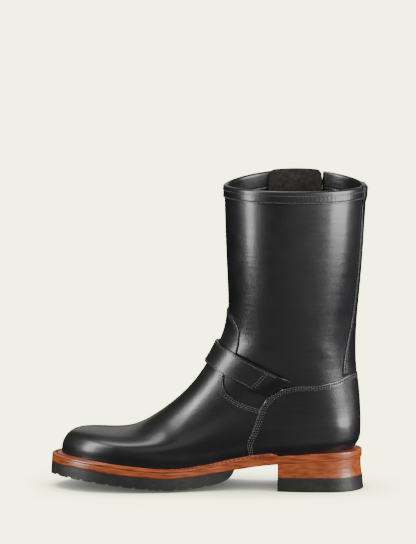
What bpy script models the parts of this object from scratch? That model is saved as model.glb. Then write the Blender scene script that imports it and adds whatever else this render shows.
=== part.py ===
"""Engineer boot for the right foot, an assembly of its separate leather, rubber and metal pieces.

Metres, +Z up. The toe points to -X and the inner (medial) side faces -Y. The origin is the centre
of the heel's bottom face, which stands on the plane z = 0 with the flat spot of the half sole.
"""

import math

import bmesh
import bpy
import numpy as np
from mathutils import Matrix, Vector

# Sole unit
SOLE_LENGTH = 0.3025
BALL_WIDTH = 0.110
HEEL_LENGTH = 0.0805
HEEL_HEIGHT = 0.0389
TOE_SPRING = 0.0142
SOLE_CROWN = 0.0034
MIDSOLE_THICKNESS = 0.0057
WAIST_EXTRA = 0.0021
RUBBER_THICKNESS = 0.0112
RUBBER_LENGTH = 0.177
RUBBER_TAPER = 0.026
TREAD_FLAT = 0.0005
LUG_DEPTH = 0.0021
LUG_PITCH = 0.0127
LUG_GROOVE = 0.0031
EDGE_LUG_WIDTH = 0.0135
CAP_THICKNESS = 0.0140
CAP_FLARE = 0.0015
CAP_GROOVE_DEPTH = 0.0030
CAP_GROOVE_PLACES = (0.2, 0.8)
LIFT_COUNT = 3
WELT_WIDTH = 0.0055
WELT_THICKNESS = 0.0036
WELT_LIP = 0.0012
INSOLE_THICKNESS = 0.0028

# Upper
LAST_LENGTH = 0.2815
TOE_HEIGHT = 0.0275
INSTEP_HEIGHT = 0.127
SHAFT_HEIGHT = 0.296
COLLAR_DEPTH = 0.1371
COLLAR_WIDTH = 0.107
HEEL_CURVE = 0.010
TOE_PUFF = 0.0026
SIDE_RISE = 0.0075
SHAFT_LEAN = 0.005
WALL = 0.0022
OVERLAY = 0.0014
COUNTER_THICKNESS = 0.0018
BAND_THICKNESS = 0.0010
GUSSET_THICKNESS = 0.0011
STRAP_THICKNESS = 0.0026
STRAP_WIDTH = 0.024
COLLAR_BAND_HEIGHT = 0.0108
COLLAR_BAND_INSIDE = 0.015
STAY_WIDTH = 0.026
STAY_INSIDE = 0.030
SLIT_WIDTH = 0.012
SLIT_LENGTH = 0.085
GUSSET_RISE = 0.004
COLLAR_STRAP_WIDTH = 0.018
COLLAR_STRAP_DROP = 0.030
BUCKLE_WIRE = 0.0034
BUCKLE_PLAY = 0.0014
PRONG_RADIUS = 0.0012
CHAPE_LIFT = 0.0012
KEEPER_WIDTH = 0.008
KEEPER_LIFT = 0.001

# Clearances
GAP = 0.0003
FEATHER_GAP = 0.0006
STRAP_GAP = 0.0006
# Ring of the upper that the welt's inner edge stands clear of
WELT_RING = 1.2

# Rings between the instep and the collar
SHAFT_RINGS = 4.0

# Mesh density
RING_COLUMNS = 38
COLUMN_SHIFT = 0.35
INSTEP_START = 8
SHAFT_START = 13
SOLE_STATIONS = 30

HALF_BALL = BALL_WIDTH / 2
SEAT_BACK = (HEEL_LENGTH + CAP_FLARE) / 2 - CAP_FLARE
BREAST_X = SEAT_BACK - HEEL_LENGTH
BALL_TOP = MIDSOLE_THICKNESS + GAP + RUBBER_THICKNESS - TREAD_FLAT

# Bottom of the last along the sole, from the heel: shares of heel rise, toe spring and crown
LAST_BOTTOM = (
    # along, heel_rise, toe_rise, crown
    (0.00, 1.00, 0.00, 0.00),
    (0.09, 0.98, 0.00, 0.00),
    (0.17, 0.91, 0.00, 0.00),
    (0.27, 0.79, 0.00, 0.05),
    (0.34, 0.66, 0.00, 0.20),
    (0.41, 0.47, 0.00, 0.50),
    (0.48, 0.24, 0.00, 0.80),
    (0.55, 0.07, 0.00, 0.95),
    (0.62, 0.00, 0.00, 1.00),
    (0.69, 0.00, 0.10, 1.00),
    (0.76, 0.00, 0.27, 0.95),
    (0.84, 0.00, 0.53, 0.85),
    (0.92, 0.00, 0.80, 0.70),
    (1.00, 0.00, 1.00, 0.60),
)

# Outline of the sole in shares of half the ball width, and how far the upper stands in from it
OUTLINE = (
    # along, centre, half_width, inset
    (0.00, 0.000, 0.600, 1.30),
    (0.10, 0.005, 0.600, 1.05),
    (0.18, 0.010, 0.618, 0.90),
    (0.27, 0.032, 0.612, 0.85),
    (0.35, 0.062, 0.610, 0.85),
    (0.43, 0.085, 0.665, 0.95),
    (0.52, 0.080, 0.785, 1.15),
    (0.60, 0.055, 0.905, 1.28),
    (0.68, 0.028, 0.980, 1.30),
    (0.76, 0.004, 0.980, 1.30),
    (0.84, -0.018, 0.925, 1.30),
    (0.92, -0.050, 0.850, 1.30),
    (1.00, -0.095, 0.780, 1.30),
)
TOE_ROUND = 0.054
HEEL_ROUND = 0.033

# Rings of the upper from the feather line to the collar.
# span: 1 is the collar's depth, 2 the last's length. Levels: 0 sole, 1 toe box, 2 instep, 3 collar.
# tuck, puff: shares of HEEL_CURVE and TOE_PUFF. hang: how long a ring stays low before it rises.
# shaft: share of shaft form. side: share of half the collar width. rounds: shares of the ring's span.
RINGS = (
    # span, front_level, tuck, back_level, hang, shaft, side, front_round, back_round, puff
    (2.000, 0.000, 0.97, 0.000, 1.0, 0.00, 0.70, 0.185, 0.105, 0.0),
    (2.014, 0.200, 0.80, 0.110, 1.5, 0.00, 0.70, 0.185, 0.110, 0.3),
    (2.023, 0.450, 0.53, 0.260, 2.0, 0.00, 0.70, 0.190, 0.115, 0.8),
    (2.000, 0.700, 0.39, 0.385, 2.6, 0.00, 0.70, 0.195, 0.120, 1.0),
    (1.947, 0.900, 0.32, 0.510, 3.5, 0.00, 0.70, 0.210, 0.125, 1.0),
    (1.841, 1.000, 0.29, 0.675, 4.5, 0.00, 0.72, 0.235, 0.130, 1.0),
    (1.690, 1.040, 0.28, 0.840, 5.0, 0.03, 0.72, 0.265, 0.140, 0.9),
    (1.552, 1.120, 0.27, 1.010, 5.0, 0.07, 0.73, 0.310, 0.160, 0.8),
    (1.413, 1.287, 0.28, 1.125, 4.5, 0.14, 0.74, 0.360, 0.190, 0.6),
    (1.272, 1.487, 0.31, 1.290, 3.5, 0.27, 0.75, 0.410, 0.230, 0.4),
    (1.142, 1.707, 0.39, 1.520, 2.6, 0.44, 0.76, 0.450, 0.290, 0.2),
    (1.023, 2.000, 0.61, 1.820, 1.9, 0.66, 0.78, 0.490, 0.370, 0.0),
    (0.933, 2.136, 0.71, 2.077, 1.4, 0.87, 0.82, 0.500, 0.450, 0.0),
    (0.913, 2.284, 0.53, 2.254, 1.1, 1.00, 0.88, 0.500, 0.500, 0.0),
    (0.944, 2.491, 0.23, 2.479, 1.0, 1.00, 0.95, 0.500, 0.500, 0.0),
    (0.975, 2.757, -0.05, 2.757, 1.0, 1.00, 0.99, 0.500, 0.500, 0.0),
    (1.000, 3.000, -0.30, 3.000, 1.0, 1.00, 1.00, 0.500, 0.500, 0.0),
)
TOP_RING = len(RINGS) - 1

# Where the vamp and the counter end, as angles from the toe and from the heel, up the rings
VAMP_EDGE = (
    # ring, angle
    (0.0, 110.0),
    (8.4, 90.0),
    (9.1, 84.6),
    (9.5, 68.0),
    (10.0, 51.0),
    (10.4, 45.0),
    (11.5, 45.5),
    (12.1, 42.0),
    (12.6, 36.0),
    (12.9, 22.0),
    (13.0, 8.0),
)
COUNTER_EDGE = (
    # ring, angle
    (0.0, 73.0),
    (3.3, 76.0),
    (6.8, 86.0),
    (8.4, 92.0),
    (9.2, 94.5),
    (9.7, 93.5),
    (10.1, 89.0),
    (10.4, 80.0),
    (11.0, 66.0),
)
COUNTER_TOP = (
    # angle, ring
    (0.0, 10.95),
    (20.0, 10.92),
    (40.0, 10.65),
    (61.0, 10.48),
    (80.0, 10.38),
    (89.0, 10.12),
    (95.0, 9.60),
)
# Slit in the collar and the panel behind it
SLIT_ANGLE = math.radians(287)
GUSSET_START = math.radians(244)
GUSSET_STOP = math.radians(292)
# Instep strap: its slope, its middle at the instep, and angles at the buckle
STRAP_TILT = math.radians(25)
STRAP_CENTRE = (-0.105, 0.0, 0.1325)
BUCKLE_REACH = math.radians(19)
CHAPE_CLEAR = math.radians(5)
SEAM_CLEAR = math.radians(0.5)


def clear_scene():
    for item in list(bpy.data.objects):
        bpy.data.objects.remove(item, do_unlink=True)


def make_collection(name):
    group = bpy.data.collections.new(name)
    bpy.context.scene.collection.children.link(group)
    return group


def make_material(name, colour, roughness, metallic=0.0):
    material = bpy.data.materials.new(name)
    material.use_nodes = True
    shader = material.node_tree.nodes["Principled BSDF"]
    shader.inputs["Base Color"].default_value = (*colour, 1.0)
    shader.inputs["Roughness"].default_value = roughness
    shader.inputs["Metallic"].default_value = metallic
    return material


def column(rows, index, position):
    """Smooth curve through one column of a table, read at positions in its first column."""
    table = np.array(rows, dtype=float)
    return hermite(table[:, 0], table[:, index], position)


def hermite(knots, values, position):
    slopes = np.gradient(values, knots)
    place = np.clip(np.asarray(position, dtype=float), knots[0], knots[-1])
    cell = np.clip(np.searchsorted(knots, place, side="right") - 1, 0, len(knots) - 2)
    width = knots[cell + 1] - knots[cell]
    t = (place - knots[cell]) / width
    start = (1 + 2 * t) * (1 - t) ** 2 * values[cell] + t * (1 - t) ** 2 * width * slopes[cell]
    end = t ** 2 * (3 - 2 * t) * values[cell + 1] + t ** 2 * (t - 1) * width * slopes[cell + 1]
    return start + end


def rounded(share):
    """Quarter of a circle: 0 at the end of an outline, 1 where it has its full width."""
    return np.sqrt(np.clip(1 - (1 - np.clip(share, 0, 1)) ** 2, 0, 1))


def smooth_step(low, high, value):
    t = np.clip((np.asarray(value, dtype=float) - low) / (high - low), 0, 1)
    return t * t * (3 - 2 * t)


# Sole outline and the surface that the sole's layers follow

def along_share(x):
    return (SEAT_BACK - np.asarray(x, dtype=float)) / SOLE_LENGTH


def outline_centre(x):
    return column(OUTLINE, 1, along_share(x)) * HALF_BALL


def outline_half(x):
    share = along_share(x)
    ends = rounded((1 - share) * SOLE_LENGTH / TOE_ROUND) * rounded(share * SOLE_LENGTH / HEEL_ROUND)
    return column(OUTLINE, 2, share) * HALF_BALL * ends


def last_bottom(x, y=None):
    """Height of the midsole's top, raised towards the sides by the crown."""
    share = along_share(x)
    heel = column(LAST_BOTTOM, 1, share) * (HEEL_HEIGHT - BALL_TOP)
    toe = column(LAST_BOTTOM, 2, share) * TOE_SPRING
    side = outline_half(x) if y is None else np.asarray(y) - outline_centre(x)
    crown = column(LAST_BOTTOM, 3, share) * SOLE_CROWN * (side / HALF_BALL) ** 2
    return BALL_TOP + heel + toe + crown


def sole_point(x, y, depth):
    """Point at a depth below the midsole's top, square to the sole where it turns up."""
    step = 0.002
    slope = (last_bottom(x + step, y) - last_bottom(x - step, y)) / (2 * step)
    slope = slope * smooth_step(BREAST_X + 0.02, BREAST_X - 0.06, x)
    square = np.sqrt(1 + slope ** 2)
    return np.stack([x + depth * slope / square, y, last_bottom(x, y) - depth / square], axis=-1)


def waist_extra(x):
    """The leather is thicker from the waist back, where no rubber covers it."""
    front = SEAT_BACK - SOLE_LENGTH + RUBBER_LENGTH
    return WAIST_EXTRA * smooth_step(front - RUBBER_TAPER, front + RUBBER_TAPER / 2, x)


def stations(x_front, x_back, count, round_front, round_back):
    """Places along the sole, closer together at a round end."""
    t = np.linspace(0, 1, count)
    if round_front and round_back:
        t = (1 - np.cos(math.pi * t)) / 2
    elif round_front:
        t = 1 - np.cos(math.pi / 2 * t)
    elif round_back:
        t = np.sin(math.pi / 2 * t)
    return x_front + (x_back - x_front) * t


def sole_grid(places, across, inset):
    """Plan positions on the sole: rows along it, columns from the medial to the lateral edge."""
    x = np.repeat(places[:, None], len(across), axis=1)
    half = np.maximum(outline_half(x) - inset, 0)
    return x, outline_centre(x) + half * across[None, :]


# Upper surface

def ring_value(index, ring):
    table = np.array(RINGS, dtype=float)
    return hermite(np.arange(len(RINGS), dtype=float), table[:, index], ring)


def ring_span(ring):
    return np.interp(ring_value(0, ring), (0, 1, 2, 3), (0, COLLAR_DEPTH, LAST_LENGTH, 2 * LAST_LENGTH - COLLAR_DEPTH))


def level_height(level, x):
    sole = last_bottom(x) + FEATHER_GAP
    toe = last_bottom(x) + TOE_HEIGHT
    low = sole + (toe - sole) * np.clip(level, 0, 1)
    middle = (INSTEP_HEIGHT - toe) * np.clip(level - 1, 0, 1)
    top = (SHAFT_HEIGHT - INSTEP_HEIGHT) * np.clip(level - 2, 0, 1)
    return low + middle + top


def base_surface(phi, ring):
    """Outer face of the upper. phi runs from the back centre over the medial side to the toe."""
    phi, ring = np.broadcast_arrays(np.asarray(phi, dtype=float), np.asarray(ring, dtype=float))
    u = (1 - np.cos(phi)) / 2
    span = ring_span(ring)
    x_back = SEAT_BACK - HEEL_CURVE * ring_value(2, ring)
    x_front = x_back - span
    x = x_back - span * u
    shaft = np.clip(ring_value(5, ring), 0, 1)
    front = level_height(ring_value(1, ring), x_front) - (1 - shaft) * last_bottom(x_front)
    back = level_height(ring_value(3, ring), x_back) - (1 - shaft) * last_bottom(x_back)
    hang = u ** ring_value(4, ring)
    z = (1 - shaft) * last_bottom(x) + back * (1 - hang) + front * hang
    lateral = np.clip(-np.sin(phi), 0, 1) ** 2
    z = z + SIDE_RISE * lateral * smooth_step(TOP_RING - 3, TOP_RING, ring)
    share = along_share(x)
    foot = column(OUTLINE, 2, share) * HALF_BALL - column(OUTLINE, 3, share) * WELT_WIDTH
    foot = foot + TOE_PUFF * ring_value(9, ring)
    half = (1 - shaft) * foot + shaft * ring_value(6, ring) * COLLAR_WIDTH / 2
    ends = rounded((1 - u) / ring_value(7, ring)) * rounded(u / ring_value(8, ring))
    centre = (1 - shaft) * outline_centre(x) * smooth_step(9, 3, ring)
    centre = centre - SHAFT_LEAN * shaft * smooth_step(INSTEP_HEIGHT, SHAFT_HEIGHT, z)
    y = centre - np.sign(np.sin(phi)) * half * ends
    return np.stack([x, y, z], axis=-1)


def surface_normal(phi, ring):
    step = 0.02
    lower = np.clip(ring - step, 0, TOP_RING)
    upper = np.clip(ring + step, 0, TOP_RING)
    round_way = base_surface(phi + step, ring) - base_surface(phi - step, ring)
    up_way = base_surface(phi, upper) - base_surface(phi, lower)
    normal = np.cross(up_way, round_way)
    level = smooth_step(0.0, 1.5, ring)
    normal[..., 2] *= np.minimum(level, smooth_step(TOP_RING, TOP_RING - 1.0, ring))
    return normal / np.linalg.norm(normal, axis=-1, keepdims=True)


def upper_point(phi, ring, offset):
    phi, ring = np.broadcast_arrays(np.asarray(phi, dtype=float), np.asarray(ring, dtype=float))
    return base_surface(phi, ring) + surface_normal(phi, ring) * np.asarray(offset)[..., None]


def ring_columns():
    """Angles of the upper's columns, a little closer together along its sides."""
    even = np.linspace(0, 2 * math.pi, RING_COLUMNS, endpoint=False)
    return even + COLUMN_SHIFT * np.sin(2 * even) / 2


def ring_rows():
    """Rings of the upper's mesh, further apart up the plain shaft."""
    toe = np.arange(0, INSTEP_START)
    instep = np.arange(INSTEP_START, SHAFT_START, 0.5)
    return np.concatenate([toe, instep, np.arange(SHAFT_START, TOP_RING + 1)])


def blend_nodes(values, columns, rows, phi, ring):
    """Read a grid of values between its nodes, straight along its faces' edges."""
    turn = 2 * math.pi
    shifted = np.concatenate([columns, [turn]])
    around = np.mod(phi, turn)
    c = np.clip(np.searchsorted(shifted, around, side="right") - 1, 0, len(columns) - 1)
    r = np.clip(np.searchsorted(rows, ring, side="right") - 1, 0, len(rows) - 2)
    s = ((around - shifted[c]) / (shifted[c + 1] - shifted[c]))[..., None]
    t = ((ring - rows[r]) / (rows[r + 1] - rows[r]))[..., None]
    d = (c + 1) % len(columns)
    low = values[r, c] * (1 - s) + values[r, d] * s
    high = values[r + 1, c] * (1 - s) + values[r + 1, d] * s
    return low * (1 - t) + high * t


NODES = {}


def face_point(phi, ring, offset):
    """Point at a distance from the upper's faceted outer side, which overlays lie parallel to."""
    phi, ring = np.broadcast_arrays(np.asarray(phi, dtype=float), np.asarray(ring, dtype=float))
    if not NODES:
        columns, rows = np.meshgrid(ring_columns(), ring_rows())
        NODES["points"] = base_surface(columns, rows)
        NODES["normals"] = surface_normal(columns, rows)
    point = blend_nodes(NODES["points"], ring_columns(), ring_rows(), phi, ring)
    normal = blend_nodes(NODES["normals"], ring_columns(), ring_rows(), phi, ring)
    return point + normal * np.broadcast_to(offset, phi.shape)[..., None]


# Mesh building

def new_object(name, mesh, group, material):
    item = bpy.data.objects.new(name, mesh)
    group.objects.link(item)
    mesh.materials.append(material)
    return item


def finish_mesh(bm, name, weld=1e-6):
    bmesh.ops.remove_doubles(bm, verts=bm.verts, dist=weld)
    bmesh.ops.dissolve_degenerate(bm, edges=bm.edges, dist=weld)
    bmesh.ops.recalc_face_normals(bm, faces=bm.faces)
    mesh = bpy.data.meshes.new(name)
    bm.to_mesh(mesh)
    bm.free()
    mesh.shade_smooth()
    mesh.set_sharp_from_angle(angle=math.radians(35))
    return mesh


def layer(name, near, far, group, material, closed=False, weld=1e-6):
    """Closed solid between two grids of points of the same shape."""
    rows, columns = near.shape[:2]
    bm = bmesh.new()
    grids = []
    for grid in (near, far):
        grids.append([[bm.verts.new(point) for point in row] for row in grid])
    across = columns if closed else columns - 1
    for grid in grids:
        for r in range(rows - 1):
            for c in range(across):
                d = (c + 1) % columns
                bm.faces.new((grid[r][c], grid[r][d], grid[r + 1][d], grid[r + 1][c]))
    low, high = grids
    for r in (0, rows - 1):
        for c in range(across):
            d = (c + 1) % columns
            bm.faces.new((low[r][c], low[r][d], high[r][d], high[r][c]))
    if not closed:
        for c in (0, columns - 1):
            for r in range(rows - 1):
                bm.faces.new((low[r][c], low[r + 1][c], high[r + 1][c], high[r][c]))
    return new_object(name, finish_mesh(bm, name, weld), group, material)


def cut(target, cutter, operation="DIFFERENCE"):
    modifier = target.modifiers.new(cutter.name, "BOOLEAN")
    modifier.object = cutter
    modifier.operation = operation
    modifier.solver = "EXACT"
    cutter.hide_render = True
    cutter.display_type = "WIRE"


# Sole pieces

def make_midsole(group, material):
    places = stations(SEAT_BACK - SOLE_LENGTH, SEAT_BACK, SOLE_STATIONS, True, True)
    x, y = sole_grid(places, np.linspace(-1, 1, 7), 0)
    top = sole_point(x, y, 0.0)
    bottom = sole_point(x, y, MIDSOLE_THICKNESS + waist_extra(x))
    return layer("midsole", bottom, top, group, material)


def make_insole(group, material):
    nodes = ring_columns()
    phi = nodes[nodes <= math.pi + 1e-9]
    across = np.linspace(-1, 1, 5)
    medial = face_point(phi, 0.0, -WALL - GAP)
    lateral = face_point(2 * math.pi - phi, 0.0, -WALL - GAP)
    blend = (across[None, :, None] + 1) / 2
    plan = medial[:, None, :] * (1 - blend) + lateral[:, None, :] * blend
    x, y = plan[..., 0], plan[..., 1]
    bottom = np.stack([x, y, last_bottom(x, y) + 2 * GAP], axis=-1)
    top = bottom + np.array([0, 0, INSOLE_THICKNESS])
    return layer("insole", bottom, top, group, material)


def welt_section(phi):
    """Inner and outer edges of the welt at angles round the foot, from the upper to the sole's edge."""
    clear = max(OVERLAY, COUNTER_THICKNESS) + 3 * GAP
    inner = face_point(phi, 0.0, clear)
    inner[:, :2] = face_point(phi, WELT_RING, clear)[:, :2]
    u = (1 - np.cos(phi)) / 2
    x_tip = SEAT_BACK - SOLE_LENGTH
    x = SEAT_BACK + (x_tip - SEAT_BACK) * u
    y = outline_centre(x) - np.sign(np.sin(phi)) * outline_half(x)
    return inner, x, y


def make_welt(group, material):
    start = math.acos(1 - 2 * HEEL_LENGTH / SOLE_LENGTH)
    nodes = ring_columns()
    halfway = (nodes + np.append(nodes[1:], 2 * math.pi)) / 2
    phi = np.sort(np.concatenate([nodes, halfway]))
    phi = phi[(phi > start + 0.03) & (phi < 2 * math.pi - start - 0.03)]
    phi = np.concatenate([[start], phi, [2 * math.pi - start]])
    inner, x, y = welt_section(phi)
    low_outer = sole_point(x, y, -GAP)
    lip = sole_point(x, y, -GAP - WELT_LIP)
    low_inner = sole_point(inner[:, 0], inner[:, 1], -GAP)
    top_inner = sole_point(inner[:, 0], inner[:, 1], -GAP - WELT_THICKNESS)
    middle = lip * 0.45 + top_inner * 0.55
    middle[:, 2] += WELT_THICKNESS * 0.16
    near = np.stack([low_inner, low_inner * 0.45 + low_outer * 0.55, low_outer])
    far = np.stack([top_inner, middle, lip])
    return layer("welt", near, far, group, material)


def rubber_depth(x):
    """Depth of the tread below the midsole's top; it thins out to the rear end."""
    rear = SEAT_BACK - SOLE_LENGTH + RUBBER_LENGTH
    t = np.clip((rear - x) / RUBBER_TAPER, 0, 1)
    thickness = RUBBER_THICKNESS * (0.06 + 0.94 * np.sqrt(1 - (1 - t) ** 2))
    return MIDSOLE_THICKNESS + waist_extra(x) + GAP + thickness


def is_lug(row, side_column, centre_column, last_row):
    """Edge lugs all round, a channel inside them, and crosses down the middle."""
    if row <= 2 or row >= last_row - 3:
        return True
    if side_column == 1:
        return False
    if side_column == 0:
        return row % 2 == 0
    phase = (row - 4) % 6
    if centre_column == 0:
        return phase != 5
    return phase in (1, 2, 3)


def make_half_sole(group, material):
    x_tip = SEAT_BACK - SOLE_LENGTH
    count = int(round((RUBBER_LENGTH - RUBBER_TAPER) / LUG_PITCH))
    first = x_tip + LUG_PITCH * 0.8
    edges = [x_tip, x_tip + LUG_GROOVE * 0.4, x_tip + LUG_GROOVE, first - LUG_GROOVE]
    for index in range(count):
        start = first + index * LUG_PITCH
        edges += [start, start + LUG_PITCH - LUG_GROOVE]
    rear = x_tip + RUBBER_LENGTH
    edges += list(np.linspace(edges[-1], rear, 5)[1:])
    places = np.array(edges)
    half = outline_half(places)
    bands = []
    for width in half:
        edge = min(EDGE_LUG_WIDTH, width * 0.55)
        channel = min(LUG_GROOVE, width * 0.12)
        cross = min(LUG_PITCH * 0.55, (width - edge - channel) * 0.45)
        bands.append([-width, -width + edge, -width + edge + channel, -cross,
                      cross, width - edge - channel, width - edge, width])
    bands = np.array(bands)
    x = np.repeat(places[:, None], bands.shape[1], axis=1)
    y = outline_centre(x) + bands
    bm = bmesh.new()
    top = sole_point(x, y, MIDSOLE_THICKNESS + waist_extra(x) + GAP)
    full = sole_point(x, y, rubber_depth(x))
    full[..., 2] = np.maximum(full[..., 2], 0)
    groove = sole_point(x, y, np.maximum(rubber_depth(x) - LUG_DEPTH, MIDSOLE_THICKNESS + waist_extra(x) + 2 * GAP))
    points = {}

    def vertex(kind, r, c):
        if (kind, r, c) not in points:
            grid = {"top": top, "full": full, "groove": groove}[kind]
            points[kind, r, c] = bm.verts.new(grid[r, c])
        return points[kind, r, c]

    def cell_kind(r, c):
        side = min(c, 6 - c)
        return "full" if is_lug(r, side, abs(c - 3), len(places) - 2) else "groove"

    rows, columns = x.shape
    for r in range(rows - 1):
        for c in range(columns - 1):
            kind = cell_kind(r, c)
            corners = ((r, c), (r, c + 1), (r + 1, c + 1), (r + 1, c))
            bm.faces.new([vertex("top", *corner) for corner in corners])
            bm.faces.new([vertex(kind, *corner) for corner in reversed(corners)])
            steps = (((r, c), (r, c + 1), (r - 1, c)), ((r, c), (r + 1, c), (r, c - 1)))
            for first, second, other in steps:
                inside = 0 <= other[0] < rows - 1 and 0 <= other[1] < columns - 1
                outer_kind = cell_kind(*other) if inside else "top"
                add_step(bm, vertex, kind, outer_kind, first, second)
            if r == rows - 2:
                add_step(bm, vertex, kind, "top", (r + 1, c), (r + 1, c + 1))
            if c == columns - 2:
                add_step(bm, vertex, kind, "top", (r, c + 1), (r + 1, c + 1))
    return new_object("half_sole", finish_mesh(bm, "half_sole"), group, material)


def add_step(bm, vertex, kind, other, first, second):
    """Upright face between two levels of the tread, split where a groove's floor meets it."""
    if kind == other:
        return
    if {kind, other} == {"full", "top"}:
        add_step(bm, vertex, kind, "groove", first, second)
        add_step(bm, vertex, "groove", other, first, second)
        return
    bm.faces.new((vertex(kind, *first), vertex(kind, *second), vertex(other, *second), vertex(other, *first)))


def heel_grid(columns_across, flare):
    places = stations(BREAST_X, SEAT_BACK, SOLE_STATIONS // 2, False, True)
    x, y = sole_grid(places, np.linspace(-1, 1, columns_across), 0)
    stretch = 1 + flare / (HEEL_LENGTH / 2)
    middle = (BREAST_X + SEAT_BACK) / 2
    x_wide = np.where(x > middle, middle + (x - middle) * stretch, x)
    centre = outline_centre(x)
    y_wide = centre + (y - centre) * (1 + flare / HEEL_ROUND)
    return x_wide, y_wide


def make_lifts(group, material):
    x, y = heel_grid(5, 0)
    seat = last_bottom(x, y) - MIDSOLE_THICKNESS - waist_extra(x) - GAP
    breast = float(seat.min())
    height = (breast - CAP_THICKNESS) / LIFT_COUNT
    for index in range(LIFT_COUNT):
        low = np.full_like(x, CAP_THICKNESS + GAP + index * height)
        high = low + height - GAP
        if index == LIFT_COUNT - 1:
            high = seat
        bottom = np.stack([x, y, low], axis=-1)
        top = np.stack([x, y, high], axis=-1)
        layer(f"heel_lift_{index + 1}", bottom, top, group, material)


def make_heel_cap(group, cutters, material):
    x, y = heel_grid(7, CAP_FLARE)
    x_top, y_top = heel_grid(7, 0)
    bottom = np.stack([x, y, np.zeros_like(x)], axis=-1)
    top = np.stack([x_top, y_top, np.full_like(x, CAP_THICKNESS)], axis=-1)
    cap = layer("heel_cap", bottom, top, group, material)
    for index, place in enumerate(CAP_GROOVE_PLACES):
        bpy.ops.mesh.primitive_cube_add(size=1)
        groove = bpy.context.object
        groove.name = f"heel_groove_{index + 1}"
        groove.scale = (LUG_GROOVE, HEEL_ROUND * 1.2, CAP_GROOVE_DEPTH * 2)
        groove.location = (BREAST_X + HEEL_LENGTH * place, 0, 0)
        move_to(groove, cutters)
        cut(cap, groove)
    return cap


def move_to(item, group):
    for other in list(item.users_collection):
        other.objects.unlink(item)
    group.objects.link(item)


# Upper pieces

def make_upper(group, cutters, material):
    phi, ring = np.meshgrid(ring_columns(), ring_rows())
    outer = upper_point(phi, ring, np.zeros_like(phi))
    inner = upper_point(phi, ring, np.full_like(phi, -WALL))
    upper = layer("upper", inner, outer, group, material, closed=True)
    cut(upper, make_slit(cutters))
    return upper


def slit_frame():
    """Points of the slit's line at the collar and at its lower end."""
    rings = np.linspace(TOP_RING - 6, TOP_RING, 200)
    heights = base_surface(np.full_like(rings, SLIT_ANGLE), rings)[:, 2]
    bottom = float(np.interp(heights[-1] - SLIT_LENGTH, heights, rings))
    return upper_point(SLIT_ANGLE, TOP_RING, 0.0), upper_point(SLIT_ANGLE, bottom, 0.0)


def rings_for(length):
    """Rings that a length up the shaft takes."""
    return length / (SHAFT_HEIGHT - INSTEP_HEIGHT) * SHAFT_RINGS


def make_slit(cutters):
    top, bottom = slit_frame()
    bm = bmesh.new()
    reach = 0.012
    rows = []
    for point, width in ((bottom, SLIT_WIDTH * 0.25), (top + np.array([0, 0, 0.01]), SLIT_WIDTH)):
        corners = ((-width, -reach), (width, -reach), (width, reach), (-width, reach))
        rows.append([bm.verts.new((point[0] + dx / 2, point[1] + dy, point[2])) for dx, dy in corners])
    bm.faces.new(reversed(rows[0]))
    bm.faces.new(rows[1])
    for index in range(4):
        after = (index + 1) % 4
        bm.faces.new((rows[0][index], rows[0][after], rows[1][after], rows[1][index]))
    mesh = finish_mesh(bm, "collar_slit")
    cutter = bpy.data.objects.new("collar_slit", mesh)
    cutters.objects.link(cutter)
    return cutter


def clipped(phi, ring, offsets, name, group, material, closed=False):
    near = face_point(phi, ring, offsets[0])
    far = face_point(phi, ring, offsets[1])
    return layer(name, near, far, group, material, closed, weld=0.00004)


def make_vamp(group, material):
    top = VAMP_EDGE[-1][0]
    rows = np.concatenate([ring_rows(), np.arange(9.0, 10.5, 0.25), np.arange(12.5, top, 0.0625)])
    rows = np.append(np.unique(rows[rows < top - 0.01]), top)
    phi, ring = np.meshgrid(ring_columns(), rows)
    seam = math.pi - np.radians(column(COUNTER_EDGE, 1, ring)) - SEAM_CLEAR
    reach = np.minimum(np.radians(column(VAMP_EDGE, 1, ring)), seam)
    phi = np.clip(phi, math.pi - reach, math.pi + reach)
    lift = GAP * (1 + smooth_step(12.4, 12.8, ring))
    return clipped(phi, ring, (lift, lift + OVERLAY), "vamp", group, material)


def counter_columns():
    """Columns round the heel, from the medial front edge over the back to the lateral one."""
    around = ring_columns()
    signed = np.where(around > math.pi, around - 2 * math.pi, around)
    return np.sort(signed[np.abs(signed) < math.radians(COUNTER_TOP[-1][0] + 12)])


def make_counter(group, material):
    rows = ring_rows()
    rows = rows[rows < COUNTER_EDGE[-1][0] + 0.1]
    phi, ring = np.meshgrid(counter_columns(), rows)
    reach = np.radians(column(COUNTER_EDGE, 1, ring))
    phi = np.clip(phi, -reach, reach)
    ring = np.minimum(ring, column(COUNTER_TOP, 1, np.abs(np.degrees(phi))))
    return clipped(phi, ring, (GAP, GAP + COUNTER_THICKNESS), "counter_cover", group, material)


def half_angle(width, ring):
    """Angle round the back that a strip of half a width spans on a ring."""
    angles = np.linspace(0, 0.8, 120)
    table = base_surface(angles[None, :], np.asarray(ring)[:, None])
    steps = np.linalg.norm(np.diff(table, axis=1), axis=2)
    lengths = np.concatenate([np.zeros((len(table), 1)), np.cumsum(steps, axis=1)], axis=1)
    return np.array([np.interp(width / 2, row, angles) for row in lengths])


def rim_path(bottom_ring, inside, near_offset, thickness, rows_between):
    """Rings and offsets of a strip that climbs the outside, crosses the rim and goes down inside."""
    outside_rings = np.append(rows_between, TOP_RING)
    inside_rings = np.array([TOP_RING, TOP_RING - rings_for(inside)])
    rings = np.concatenate([[bottom_ring], outside_rings, inside_rings])
    near = np.concatenate([np.full(len(outside_rings) + 1, near_offset), np.full(2, -WALL - near_offset)])
    far = np.concatenate([np.full(len(outside_rings) + 1, near_offset + thickness),
                          np.full(2, -WALL - near_offset - thickness)])
    return rings, near, far


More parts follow.
